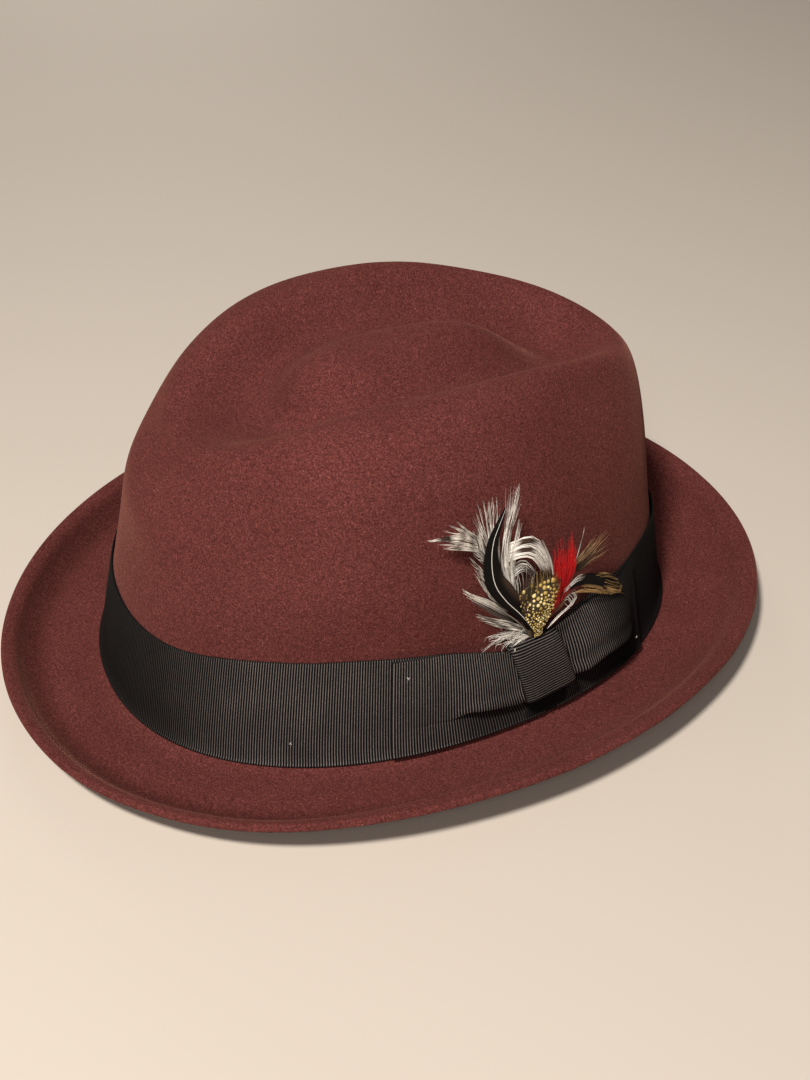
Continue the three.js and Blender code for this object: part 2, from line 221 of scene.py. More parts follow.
def wall(s, h, off):
    """Points at arc s and height h over the break line, off millimetres out of the felt."""
    s, h, off = np.broadcast_arrays(s, h, off)
    shape = s.shape
    t = angle_at(s.ravel())
    z = BREAK_Z + break_height(t) + h.ravel()
    here = Felt(t)
    low, high = (np.full(len(t), KNOTS[i]) for i in WALL_RINGS)
    for _ in range(HALVINGS):
        mid = (low + high) / 2
        below = here.at(mid)[:, 2] < z
        low = np.where(below, mid, low)
        high = np.where(below, high, mid)
    point, normal = felt_points(low, t)
    return (point + normal * off.ravel()[:, None]).reshape(*shape, 3)


# ---------------------------------------------------------------- meshes

def curve_through(controls, count):
    """Smooth curve through control points, at even steps of its parameter."""
    p = np.asarray(controls, float)
    ends = np.concatenate([[2 * p[0] - p[1]], p, [2 * p[-1] - p[-2]]])
    v = np.linspace(0, len(p) - 1, count)
    i = np.minimum(v.astype(int), len(p) - 2)
    f = (v - i)[:, None]
    a, b, c, d = (ends[i + k] for k in range(4))
    square, cube = 2 * a - 5 * b + 4 * c - d, 3 * b - a - 3 * c + d
    return 0.5 * (2 * b + (c - a) * f + square * f**2 + cube * f**3)


def grid_faces(m, n, wrap=False, start=0, flip=False):
    i, j = np.meshgrid(np.arange(m - 1), np.arange(n if wrap else n - 1), indexing="ij")
    k = (j + 1) % n
    quads = np.stack([i * n + j, i * n + k, (i + 1) * n + k, (i + 1) * n + j], -1).reshape(-1, 4)
    return (quads[:, ::-1] if flip else quads) + start


def capped_faces(m, n, flip=False):
    """Faces of a tube of m rings of n points. The points at its two ends come after the rings."""
    faces = [tuple(f) for f in grid_faces(m, n, wrap=True)]
    last = (m - 1) * n
    for j in range(n):
        k = (j + 1) % n
        faces += [(m * n, k, j), (m * n + 1, last + j, last + k)]
    return [f[::-1] for f in faces] if flip else faces


def grid_normals(points, wrap=False):
    """Unit normals of a grid of points, pointing to the side that grid_faces faces."""
    if wrap:
        along = np.roll(points, -1, 1) - np.roll(points, 1, 1)
    else:
        along = np.gradient(points, axis=1)
    normal = np.cross(along, np.gradient(points, axis=0))
    return normal / np.maximum(np.linalg.norm(normal, axis=2, keepdims=True), 1e-9)


def mesh_piece(name, points, faces, material, node, attributes=(), body="hat"):
    """The visible piece of a node, from points in millimetres. attributes are (name, one number for each
    point). Its slot holds the material."""
    mesh = bpy.data.meshes.new(name)
    mesh.from_pydata((np.asarray(points) * MM).tolist(), [], [tuple(f) for f in faces])
    for label, values in attributes:
        layer = mesh.attributes.new(label, "FLOAT", "POINT")
        layer.data.foreach_set("value", np.asarray(values, np.float32).ravel())
    mesh.polygons.foreach_set("use_smooth", [True] * len(mesh.polygons))
    mesh.materials.append(material)
    mesh.update()
    piece = add_object(name, mesh)
    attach(piece, body)
    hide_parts(node)
    return piece


def add_object(name, data):
    piece = bpy.data.objects.new(name, data)
    bpy.context.scene.collection.objects.link(piece)
    return piece


def closed_sheet(top, bottom, wrap=False):
    """Points and faces of a closed sheet between two grids that face the same way."""
    m, n = top.shape[:2]
    points = np.concatenate([top.reshape(-1, 3), bottom.reshape(-1, 3)])
    a = np.arange(m * n).reshape(m, n)
    b = a + m * n
    faces = [grid_faces(m, n, wrap), grid_faces(m, n, wrap, m * n, flip=True)]

    def rim(x, y):
        return np.stack([x[:-1], y[:-1], y[1:], x[1:]], -1)

    close = (lambda r: np.append(r, r[0])) if wrap else (lambda r: r)
    faces.append(rim(close(a[0]), close(b[0])))
    faces.append(rim(close(b[-1]), close(a[-1])))
    if not wrap:
        faces.append(rim(b[:, 0], a[:, 0]))
        faces.append(rim(a[:, -1], b[:, -1]))
    return points, np.concatenate(faces)


def skin(points, thick, wrap=False):
    """A closed sheet of even thickness behind a grid of points."""
    return closed_sheet(points, points - grid_normals(points, wrap) * thick, wrap)


# ---------------------------------------------------------------- materials

class Nodes:
    """Short way to write a material's nodes."""

    def __init__(self, name, roughness, **constants):
        self.material = bpy.data.materials.new(name)
        self.material.use_nodes = True
        self.tree = self.material.node_tree
        self.shader = self.tree.nodes["Principled BSDF"]
        self.shader.inputs["Roughness"].default_value = roughness
        for key, value in constants.items():
            self.shader.inputs[key.replace("_", " ")].default_value = value

    def add(self, kind, **settings):
        node = self.tree.nodes.new("ShaderNode" + kind)
        for key, value in settings.items():
            setattr(node, key, value)
        return node

    def link(self, a, b):
        self.tree.links.new(a, b)

    def place(self, scale=(1, 1, 1)):
        coord = self.add("TexCoord")
        mapping = self.add("Mapping")
        mapping.inputs["Scale"].default_value = scale
        self.link(coord.outputs["Object"], mapping.inputs["Vector"])
        return mapping.outputs["Vector"]

    def noise(self, per_metre, detail=3.0, rough=0.6, at=None, distortion=0.0):
        node = self.add("TexNoise")
        settings = {"Scale": per_metre, "Detail": detail, "Roughness": rough, "Distortion": distortion}
        for key, value in settings.items():
            node.inputs[key].default_value = value
        self.link(at or self.place(), node.inputs["Vector"])
        return node.outputs["Fac"]

    def value(self, label):
        node = self.add("Attribute", attribute_name=label)
        return node.outputs["Fac"]

    def ramp(self, source, *stops):
        """stops are (place, colour or a number for grey)."""
        node = self.add("ValToRGB")
        ramp = node.color_ramp
        while len(ramp.elements) < len(stops):
            ramp.elements.new(0.5)
        for element, (where, color) in zip(ramp.elements, stops):
            element.position = where
            element.color = (*(color if isinstance(color, tuple) else (color,) * 3), 1)
        self.link(source, node.inputs["Fac"])
        return node.outputs["Color"]

    def mix(self, factor, a, b, blend="MIX"):
        node = self.add("Mix", data_type="RGBA", blend_type=blend)
        for socket, value in ((node.inputs[0], factor), (node.inputs[6], a), (node.inputs[7], b)):
            if isinstance(value, (int, float)):
                socket.default_value = value
            elif isinstance(value, tuple):
                socket.default_value = (*value, 1)
            else:
                self.link(value, socket)
        return node.outputs[2]

    def times(self, color, *others):
        for other in others:
            color = self.mix(1.0, color, other, "MULTIPLY")
        return color

    def color(self, source):
        if isinstance(source, tuple):
            self.shader.inputs["Base Color"].default_value = (*source, 1)
        else:
            self.link(source, self.shader.inputs["Base Color"])

    def bump(self, *layers):
        """layers are (height, distance in millimetres, strength), from the coarsest to the finest."""
        normal = None
        for height, distance, strength in layers:
            node = self.add("Bump")
            node.inputs["Distance"].default_value = distance * MM
            node.inputs["Strength"].default_value = strength
            self.link(height, node.inputs["Height"])
            if normal is not None:
                self.link(normal, node.inputs["Normal"])
            normal = node.outputs["Normal"]
        self.link(normal, self.shader.inputs["Normal"])


def felt_material():
    n = Nodes("wool_felt", 0.95, Sheen_Weight=0.18, Sheen_Roughness=0.35, Specular_IOR_Level=0.0)
    n.shader.inputs["Sheen Tint"].default_value = (0.95, 0.42, 0.32, 1)
    grain = n.noise(1900, 4, 0.8)
    tufts = n.noise(820, 4, 0.75, distortion=0.6)
    patches = n.noise(38, 3, 0.55)
    lint = n.noise(900, 1, 0.5, at=n.place((1, 1.15, 0.9)))
    fibres = n.noise(1, 2, 0.6, at=n.place((800, 2300, 1300)), distortion=1.5)
    base = n.ramp(
        grain,
        (0.28, (0.034, 0.0092, 0.0086)),
        (0.5, (0.103, 0.0285, 0.0258)),
        (0.72, (0.245, 0.078, 0.0715)),
    )
    soft = n.ramp(tufts, (0.3, (0.70, 0.69, 0.69)), (0.7, (1.26, 1.25, 1.24)))
    wide = n.ramp(patches, (0.3, (0.92, 0.91, 0.90)), (0.7, 1.06))
    hair = n.ramp(fibres, (0.64, 1.0), (0.8, (1.4, 1.45, 1.5)))
    speck = n.ramp(lint, (0.775, 1.0), (0.815, (2.4, 3.6, 3.8)))
    # painted shade in the brim's groove, from a value that the felt mesh carries
    groove = n.ramp(n.value("groove_shade"), (0.0, 0.0), (1.0, 1.0))
    n.color(n.times(base, soft, wide, hair, speck, groove))
    n.bump((tufts, 0.5, 0.35), (grain, 0.3, 0.6))
    return n.material


def ribbon_material():
    n = Nodes("grosgrain", 0.5, Specular_IOR_Level=0.2)
    rib_light_shade = n.value("rib_light_shade")
    thread = n.noise(2600, 2, 0.6)
    wear = n.noise(90, 3, 0.6)
    # painted highlight on the rib tops and painted shade in the valleys: the near-black ribbon is paler
    # where its ribs stand highest
    dark = n.ramp(
        rib_light_shade,
        (0.50, (0.0008, 0.0007, 0.0007)),
        (0.78, (0.0026, 0.0022, 0.0021)),
        (0.90, (0.046, 0.039, 0.037)),
        (1.0, (0.215, 0.185, 0.176)),
    )
    gloss = n.ramp(rib_light_shade, (0.55, 0.95), (0.85, 0.7), (1.0, 0.5))
    n.link(gloss, n.shader.inputs["Roughness"])
    lint = n.ramp(thread, (0.4, 0.7), (0.7, 1.3))
    fade = n.ramp(wear, (0.35, 0.85), (0.7, (1.15, 1.13, 1.1)))
    n.color(n.times(dark, lint, fade))
    n.bump((thread, 0.10, 0.4))
    return n.material


def leather_material():
    n = Nodes("sweatband_leather", 0.48, Specular_IOR_Level=0.45)
    pores = n.noise(1500, 3, 0.6)
    hide = n.noise(60, 4, 0.6)
    cells = n.add("TexVoronoi", feature="DISTANCE_TO_EDGE")
    cells.inputs["Scale"].default_value = 900
    n.link(n.place(), cells.inputs["Vector"])
    tone = n.ramp(hide, (0.3, (0.115, 0.058, 0.032)), (0.7, (0.185, 0.098, 0.055)))
    n.color(n.times(tone, n.ramp(pores, (0.3, 0.8), (0.6, 1.05))))
    n.bump((cells.outputs["Distance"], 0.12, 0.5), (pores, 0.08, 0.4))
    return n.material


def satin_material():
    n = Nodes("lining_satin", 0.36, Sheen_Weight=0.2, Specular_IOR_Level=0.55)
    weave = n.noise(1, 2, 0.5, at=n.place((700, 700, 4200)))
    soft = n.noise(45, 2, 0.5)
    n.color(n.ramp(soft, (0.3, (0.018, 0.012, 0.013)), (0.7, (0.030, 0.020, 0.021))))
    n.bump((weave, 0.05, 0.35))
    return n.material


def plain_material(name, color, roughness, noise=(300, 3, 0.6), low=0.82, high=1.1, depth=0.25):
    """One colour that a noise varies between low and high times its strength."""
    n = Nodes(name, roughness)
    mottle = n.noise(*noise)
    n.color(n.ramp(mottle, (0.3, tuple(low * c for c in color)), (0.7, tuple(high * c for c in color))))
    n.bump((mottle, 0.1, depth))
    return n.material


def feather_material(name, light, dark, roughness=0.65, gloss=0.25, tip=None):
    """Colour goes from light to dark with the mesh's bar value, and to tip with its end value."""
    n = Nodes(name, roughness, Specular_IOR_Level=gloss)
    streak = n.noise(1, 2, 0.6, at=n.place((500, 500, 1900)))
    color = n.mix(n.value("bar"), light, dark)
    if tip:
        color = n.mix(n.value("end"), color, tip)
    n.color(n.times(color, n.ramp(streak, (0.3, (0.78, 0.77, 0.76)), (0.65, 1.08))))
    n.bump((streak, 0.05, 0.3))
    return n.material


FELT_BROWN = felt_material()
GROSGRAIN = ribbon_material()
THREAD = plain_material("thread", (0.72, 0.68, 0.60), 0.7, (1800, 2, 0.6), 0.7, 1.0, 0.4)
LEATHER = leather_material()
SATIN = satin_material()
REED = plain_material("reed_plastic", (0.11, 0.06, 0.038), 0.4)
TAG = plain_material("tag_fabric", (0.78, 0.75, 0.68), 0.8)
BLACK = (0.003, 0.0025, 0.0022)
WHITE_FEATHER = feather_material("white_feather", (0.93, 0.89, 0.82), (0.060, 0.036, 0.024))
BARRED_FEATHER = feather_material("barred_feather", (0.90, 0.84, 0.75), (0.042, 0.027, 0.019))
TAN_FEATHER = feather_material("tan_feather", (0.36, 0.215, 0.105), (0.016, 0.010, 0.008))
BLACK_FEATHER = feather_material("black_feather", BLACK, (0.075, 0.042, 0.028), 0.6, 0.12)
DARK_FEATHER = feather_material("dark_feather", BLACK, (0.42, 0.26, 0.11), 0.6, 0.12)
RED_FEATHER = feather_material("red_feather", (0.62, 0.007, 0.011), (0.30, 0.004, 0.007), 0.6)
QUILL = feather_material("quill_thread", (0.20, 0.15, 0.09), (0.10, 0.07, 0.04))
GOLD_DOT = feather_material(
    "speckled_pad", (0.045, 0.028, 0.012), (0.46, 0.30, 0.06), 0.35, 0.5, tip=(0.95, 0.80, 0.38)
)

# ---------------------------------------------------------------- felt body


def ripple(p, *waves):
    """Soft unevenness in millimetres at points p: waves are (amount, direction over millimetres, phase)."""
    total = 0
    for amount, direction, phase in waves:
        total = total + amount * np.sin(p @ np.array(direction) + phase)
    return total


UNEVEN = (
    (0.22, (0.050, 0.021, 0.037), 0.4),
    (0.18, (-0.031, 0.062, 0.018), 1.9),
    (0.12, (0.083, 0.047, -0.071), 3.1),
    (0.07, (0.151, -0.117, 0.083), 0.9),
)


LIP_ROLL = 1.9  # how far the brim's rolled lip stands up
LIP_GROOVE = 1.7  # depth of the groove inside it, where it's deepest
LIP_GROOVE_SHADE = 0.36  # how much painted shade darkens the felt in the groove, where it's darkest
LIP_SOFT = 5.2  # half width of the groove
EDGE_BULGE = 0.55  # how far the cut edge is rounded
FELT_COLUMNS = 420
FELT_ROWS = 9  # rows of mesh between two control rings


def lip(inward, turn):
    """Height of the brim's lip and groove, and the share of its colour that the felt keeps under the painted
    shade there.
    inward is the distance from the brim's edge."""
    rear = smooth(np.sin(turn), 0.1, 0.65)
    front = smooth(-np.sin(turn), 0.0, 0.6)
    roll = LIP_ROLL * (1 - 0.38 * rear - 0.6 * front) * hill(inward, 5.4 - 1.9 * rear, 3.3 + 0.5 * rear)
    curl = roll - LIP_GROOVE * (0.1 + 0.9 * rear) * hill(inward, 12.5, LIP_SOFT)
    # painted shade in the groove, strongest at the back of the brim
    return curl, 1 - LIP_GROOVE_SHADE * (0.12 + 0.88 * rear) * hill(inward, 10.8, LIP_SOFT)


def felt_body():
    turn = around(FELT_COLUMNS)
    heights = [np.linspace(a, b, FELT_ROWS + 1)[:-1] for a, b in zip(KNOTS, KNOTS[1:])]
    u = np.concatenate(heights)
    top, normal = felt_points(u[:, None], turn[None, :])
    steps = np.linalg.norm(np.diff(top, axis=0), axis=2)
    inward = np.concatenate([np.zeros((1, FELT_COLUMNS)), np.cumsum(steps, 0)])
    curl, groove_shade = lip(inward, turn)
    top = top + normal * (ripple(top, *UNEVEN) + curl)[..., None]
    bottom = top - normal * FELT
    bottom[..., 2] = np.maximum(bottom[..., 2], 0)
    # the cut edge of the brim is slightly rounded between the two faces
    outward = unit(top[0] - top[1])
    middle = (top[0] + bottom[0]) / 2
    edge = [
        middle + normal[0] * FELT / 2 * math.cos(a) + outward * EDGE_BULGE * math.sin(a)
        for a in np.linspace(math.pi, 0, 8)[1:-1]
    ]
    apex, _ = felt_points(np.array([KNOTS[-1]]), np.array([0.0]))
    strip = np.concatenate([bottom[::-1], np.array(edge), top])
    points = np.concatenate([strip.reshape(-1, 3), [apex[0] - [0, 0, FELT]], apex])
    faces = capped_faces(len(strip), FELT_COLUMNS)
    # no painted shade on the underside and the cut edge
    hidden = np.ones((len(bottom) + len(edge), FELT_COLUMNS))
    groove_shade = np.append(np.concatenate([hidden, groove_shade]).ravel(), [1, 1])
    mesh_piece("felt", points, faces, FELT_BROWN, "felt_body", [("groove_shade", groove_shade)])


felt_body()

# ---------------------------------------------------------------- ribbon

RIB = 0.9  # millimetres from rib to rib
RIB_HEIGHT = 0.27
RIBBON_WIDTH = 38.2
RIBBON_THICK = 0.4
SELVEDGE = np.array([0, 0.35, 0.8])  # fine steps of the mesh at a ribbon's two edges
PLEAT = 3.85  # how far the bow's pleats lap at the knot
SAMPLES = 8  # mesh columns for each rib
TUCK = 9.0  # how much of a loop lies folded under itself
FAR_RIB_LIGHT = 0.81  # painted highlight on the band's ribs on the far side, over that on the bow side


def ribbed(points, run, edge, wrap):
    """Raises ribs on a grid. run is the distance across the ribs, edge the distance from a selvedge."""
    phase = np.abs(np.sin(math.pi * run / RIB)) ** 0.75
    fade = smooth(edge, 0.0, 0.4)
    lift = RIB_HEIGHT * phase * (0.35 + 0.65 * fade)
    normal = grid_normals(points, wrap)
    top, bottom = points + normal * lift[..., None], points - normal * RIBBON_THICK
    # the tone follows the rib's height, for the painted highlight on the rib tops, a little less near the
    # selvedges
    return top, bottom, phase * (0.93 + 0.07 * fade)


def ribbon_piece(name, node, points, run, edge, shade, wrap=False):
    """A ribbon over a grid of points, the painted highlight of its ribs times shade, which is painted shade.
    """
    top, bottom, tone = ribbed(points, run, edge, wrap)
    verts, faces = closed_sheet(top, bottom, wrap)
    both = np.concatenate([(tone * shade).ravel()] * 2)
    return mesh_piece(name, verts, faces, GROSGRAIN, node, [("rib_light_shade", both)])


def across(inner):
    """Mesh rows across a ribbon, inner between its two selvedges."""
    return np.concatenate([SELVEDGE, inner, RIBBON_WIDTH - SELVEDGE[::-1]])[:, None]


def from_edge(q, run):
    return np.minimum(q, RIBBON_WIDTH - q) + 0 * run


def band_drop(s):
    """How far the band's top edge sits below its full height: pulled down under the bow and at the back."""
    bow_pull = 9.3 * hill(s, 14, 20) + 2.7 * np.exp(-(((s - 20) / 56) ** 6))
    from_back = np.abs(np.abs(s) - 150)
    return bow_pull + 3.4 * smooth(from_back, 75, 25)


def ribbon_band():
    ribs = round(PERIMETER / RIB)
    s = np.arange(ribs * SAMPLES) / (ribs * SAMPLES) * PERIMETER - PERIMETER / 2
    q = across(np.linspace(1.6, RIBBON_WIDTH - 1.6, 12))
    sway = 0.25 * np.sin(s / 41 + 0.5) + 0.15 * np.sin(s / 17)
    h = 0.9 + q + (sway - band_drop(s)) * q / RIBBON_WIDTH
    points = wall(s, h, 0.75 + 0.35 * np.exp(-q / 1.2))
    run = s / PERIMETER * ribs * RIB + 0 * h
    # painted highlight on the band's ribs, strongest on the bow side and dimmer round the far side
    pale = FAR_RIB_LIGHT + 0.055 * smooth(s, -230, -170) + 0.135 * smooth(s, -150, -72)
    pale = pale + (FAR_RIB_LIGHT - pale) * smooth(s, 50, 82)
    piece = ribbon_piece("band", "ribbon_band", points, run, from_edge(q, s), pale, wrap=True)


def bow_wing(name, node, ends, fold_at, gather, step, puff, lean, sink, fade):
    """A loop of ribbon with a lengthwise pleat. The functions give, at each arc: the height of the fold,
    how far the pleat laps, how far it stands out, how full the loop is over it, how far the ribs lean,
    how much lower the top edge is, and how much painted shade darkens the ribs."""
    path, length = loop_path(*ends)
    run = np.linspace(0, length, int(length / RIB * SAMPLES))
    s, off = path(run)
    tucked = smooth(run, TUCK, TUCK - 3)
    if s[-1] < s[0]:
        run, s, off, tucked = run[::-1], s[::-1], off[::-1], tucked[::-1]
    below, pleat = np.linspace(1.5, 9, 10), np.linspace(9.3, 24, 52)
    q = across(np.concatenate([below, pleat, np.linspace(24.8, RIBBON_WIDTH - 1.5, 16)]))
    lap = gather(s)[None, :]
    reach = np.maximum(1.6 * lap, 2.4)
    centre = fold_at(s)[None, :]
    above = (q - centre) / reach
    sunk = (sink(s) + 0.9 * tucked)[None, :] * q / RIBBON_WIDTH
    h = 0.5 + q - 2 * lap * smooth(above + 0.5) - sunk
    upper = smooth(above, -0.35, 0.45)
    share = np.clip((q - centre) / (RIBBON_WIDTH - centre), 0, 1)
    dome = np.sin(math.pi * share) ** 0.7
    ridge = hill(q, centre + reach * 0.75, 2.6)
    stand = upper * (1 - 0.7 * smooth(share, 0.35, 1)) + 0.45 * ridge
    out = off[None, :] + puff(s)[None, :] * dome + step(s)[None, :] * stand + 0.5 * np.exp(-q / 4)
    points = wall(s[None, :] + lean(lap / PLEAT, h), h, out)
    # painted shade on the lower panel under the pleat, and where fade gives it
    pale = (1 - 0.09 * (1 - upper) * (step(s) / 3)[None, :]) * (1 - fade(s))[None, :]
    across_ribs = run[None, :] + 0 * h
    piece = ribbon_piece(name, node, points, across_ribs, from_edge(q, across_ribs), pale)


def loop_path(end, knot, low, high):
    """Path of a loop that starts under itself, turns at end and runs back on top to the knot."""
    way = 1 if knot > end else -1
    bend = (high - low) / 2
    turn_length = math.pi * bend
    total = TUCK + turn_length + abs(knot - end)

    def path(run):
        a = np.clip((run - TUCK) / turn_length, 0, 1) * math.pi
        first = np.minimum(run, TUCK)
        last = np.maximum(run - TUCK - turn_length, 0)
        s = end + way * (bend + TUCK - first + last - bend * np.sin(a))
        return s, low + bend - bend * np.cos(a)

    return path, total


def bow():
    under, over = 1.9, 2.85  # how far a loop's two layers lie out from the felt
    bow_wing(
        "bow_back",
        "bow_wing_back",
        (-35, 16, under, over),
        fold_at=lambda s: 16.0 - 3.6 * (1 - smooth(s, -17, -8)),
        gather=lambda s: PLEAT * np.clip((s + 31) / 38, 0, 1) ** 1.7,
        step=lambda s: 2.1 * smooth(s, -18, -5),
        puff=lambda s: 0.9 * smooth(s, -34, -20) * (1 - smooth(s, -2, 9)),
        lean=lambda near, h: 2.8 * near * (1 - smooth(h, 3, 16)),
        sink=lambda s: 1.0 * (1 - smooth(s, -28, -10)),
        fade=lambda s: 0 * s,
    )
    bow_wing(
        "bow_front",
        "bow_wing_front",
        (69, 21, under, over),
        fold_at=lambda s: 15.8 - 0.02 * (s - 30),
        gather=lambda s: PLEAT * (0.22 + 0.46 * np.clip((44 - s) / 17, 0, 1) ** 1.5)
        * (1 - smooth(s, 58, 69)),
        step=lambda s: 3.3 * (0.45 + 0.55 * smooth(s, 27, 35)) * (1 - smooth(s, 52, 67)),
        puff=lambda s: 1.7 * smooth(s, 27, 37) * (1 - smooth(s, 55, 69)),
        lean=lambda near, h: 5.0 * near * (1 - h / 34),
        sink=lambda s: 0 * s,
        # painted shade towards the front wing's far end
        fade=lambda s: 0.155 * smooth(s, 38, 61),
    )
    knot()


def knot():
    """The wrap over the bow's middle, its ribs along the hat: from behind the top, over it, down and under.
    Its path is a list of heights and distances out."""
    top = ((30.0, 2.9), (32.2, 3.2), (33.8, 4.4), (33.0, 5.9), (30, 7.0))
    front = ((26, 7.6), (20, 8.1), (15, 8.3), (12.8, 8.1))
    under = ((12.2, 6.2), (11.3, 4.2), (8.5, 3.4), (5, 3.3), (3.2, 3.3), (1.7, 2.9), (1.2, 2.3), (3.0, 1.9))
    fine = curve_through(top + front + under, 220)
    dist = np.concatenate([[0], np.cumsum(np.hypot(*np.diff(fine, axis=0).T))])
    length = dist[-1]
    run = np.linspace(0, length, int(length / RIB * SAMPLES))[:, None]
    h, off = np.interp(run, dist, fine[:, 0]), np.interp(run, dist, fine[:, 1])
    w = np.linspace(0, 1, 34)[None, :]
    down = np.clip((34 - h) / 24, 0, 1)
    left = 6.0 + 4.4 * down - 1.8 * smooth(-h, -8, -2)
    right = 25.2 + 4.8 * down
    s = left + (right - left) * w
    rounding = 0.8 * np.abs(2 * w - 1) ** 6
    crease = 0.22 * np.sin(w * 8 + 0.6) * np.sin(down * 3)
    tilt = 1.2 * (w - 0.5) * smooth(h, 6, 14) * (1 - smooth(h, 30, 34))
    points = wall(s, h + tilt, off - rounding + crease)[:, ::-1]
    edge = (np.minimum(w, 1 - w) * 22)[:, ::-1] + 0 * s
    # painted shade on the wrap's lower part, where it turns under
    pale = 0.975 - 0.14 * (1 - smooth(h, 11.5, 13.5))
    piece = ribbon_piece("bow_wrap", "bow_knot", points, run + 0 * s, edge, pale)


ribbon_band()
bow()

# ---------------------------------------------------------------- small threads


def tube_points(path, radius, sides=8):
    """Closed tube round a path of points, its ends drawn to a point."""
    path = np.asarray(path, float)
    tangent = unit(np.gradient(path, axis=0))
    side = unit(np.cross(tangent, [0.3, 0.2, 0.93]))
    other = np.cross(tangent, side)
    a = around(sides)[None, :, None]
    ring = side[:, None] * np.cos(a) + other[:, None] * np.sin(a)
    tube = path[:, None] + ring * np.broadcast_to(radius, len(path))[:, None, None]
    return np.concatenate([tube.reshape(-1, 3), path[[0, -1]]]), capped_faces(len(path), sides)


def join(parts):
    """One list of points and faces from several."""
    points, faces, start = [], [], 0
    for p, f in parts:
        points.append(p)
        faces += [tuple(int(i) + start for i in face) for face in f]
        start += len(p)
    return np.concatenate(points), faces


def stitch(s, h, off, slant=0.0, length=0.8, radius=0.10):
    v = np.linspace(-1, 1, 9)
    arch = off + 0.25 * (1 - v**2)
    path = wall(s + v * length / 2, h + v * slant, arch)
    return tube_points(path, radius * (1 - 0.8 * v**4))


def tacks():
    places = (
        ("tack_band_rear", -68, 10, 1.15, 0.4),
        ("tack_bow_back", -30, 31.5, 3.3, -0.5),
        ("tack_knot", 7.6, 33, 6.0, 0.6),
        ("tack_bow_front", 66, 8, 3.3, 0.3),
    )
    for name, s, h, off, slant in places:
        cross = stitch(s + 0.2, h - 0.3, off - 0.1, -slant, 0.7)
        points, faces = join([stitch(s, h, off, slant), cross])
        mesh_piece(name.replace("tack", "stitch"), points, faces, THREAD, name)


tacks()

# ---------------------------------------------------------------- inside

SWEAT_OFF = -3.9  # how far in from the felt's outer face the sweatband lies
REED_RADIUS = 0.75
STITCH_PITCH = 4.0
LINING_TOP = 78.4  # height of the lining's tip over the break line
LINING_THICK = 0.25
LINING_PLEATS = 34


def sweatband():
    s = np.arange(320) / 320 * PERIMETER
    h = np.linspace(3.4, 36, 16)
    wave = 0.12 * np.sin(s / 23)[None, :] * np.linspace(0, 1, 16)[:, None]
    off = SWEAT_OFF + wave - 0.35 * hill(h, 3.4, 2.0)[:, None]
    verts, faces = skin(wall(s[None, :], h[:, None] + 0 * s, off), 0.95, wrap=True)
    band = mesh_piece("sweatband_ring", verts, faces, LEATHER, "sweatband")

    ring = wall(s, 2.4, SWEAT_OFF - 0.5)
    a = around(12)[:, None, None]
    out = unit(np.cross(np.roll(ring, -1, 0) - np.roll(ring, 1, 0), [0, 0, 1.0]))
    reed = ring[None] + out[None] * REED_RADIUS * np.cos(a) + np.array([0, 0, REED_RADIUS]) * np.sin(a)
    faces = grid_faces(len(a) + 1, len(s), wrap=True) % (len(a) * len(s))
    mesh_piece("reed", reed.reshape(-1, 3), faces, REED, "sweatband_reed")

    total = int(PERIMETER / STITCH_PITCH)
    places = np.arange(total) * PERIMETER / total
    points, faces = join([stitch(at, 6.6, SWEAT_OFF - 1.25, 0.2, 2.7, 0.22) for at in places])
    mesh_piece("sweatband_stitches", points, faces, THREAD, "sweatband_stitching")


def tip_oval(t, scale):
    x, y = oval(t, 84 * scale, 73 * scale, 60 * scale, (2.1, 2.1), 0)
    return np.stack([x, y, 0 * t + BREAK_Z + LINING_TOP], -1)


def lining():
    s = np.arange(480) / 480 * PERIMETER
    t = angle_at(s)
    levels = ((26, -3.3), (30, -3.3), (34, -3.3), (38, -3.4), (46, -4.4), (54, -5.6), (60, -7.0), (66, -8.8))
    rows = np.array([wall(s, h, off) for h, off in levels] + [tip_oval(t, 1.0)])
    fine = np.linspace(0, len(rows) - 1, 48)
    i = np.minimum(fine.astype(int), len(rows) - 2)
    f = (fine - i)[:, None, None]
    points = rows[i] * (1 - f) + rows[i + 1] * f
    fold = np.sin(s / PERIMETER * 2 * math.pi * LINING_PLEATS + 0.9 * np.sin(s / 37))
    depth = 1.1 * smooth(np.linspace(0, 1, len(fine)), 0.35, 0.95)
    pleats = depth[:, None] * (0.5 + 0.5 * fold)[None, :]
    points = points - grid_normals(points, wrap=True) * pleats[..., None]
    side = mesh_piece("lining_wall", *skin(points, LINING_THICK, wrap=True), SATIN, "lining_side")

    scales = np.linspace(0.985, 0.0004, 40)
    rows = np.array([tip_oval(t, k) for k in scales])
    x, y = rows[..., 0], rows[..., 1]
    sag = 0.5 * np.sin(x / 19 + 0.4) * np.sin(y / 23) + 0.25 * np.sin(x / 8 + y / 11)
    rows[..., 2] += sag * (1 - scales[:, None] ** 6) - 0.3
    verts, faces = closed_sheet(rows, rows - np.array([0, 0, LINING_THICK]), wrap=True)
    piece = mesh_piece("lining_top", verts, faces, SATIN, "lining_tip")


def size_tag():
    w = np.linspace(0, 1, 24)
    v = np.linspace(0, 1, 12)[:, None]
    rear = PERIMETER / 2 - 18 + 14 * w
    curl = 0.3 * np.sin(3 * w)[None, :] * v
    verts, faces = skin(wall(rear + 0 * v, 20 + 14 * v + 0 * rear, -5.6 - curl), 0.3)
    piece = mesh_piece("tag", verts, faces, TAG, "size_tag")


sweatband()
lining()
size_tag()

# ---------------------------------------------------------------- feathers

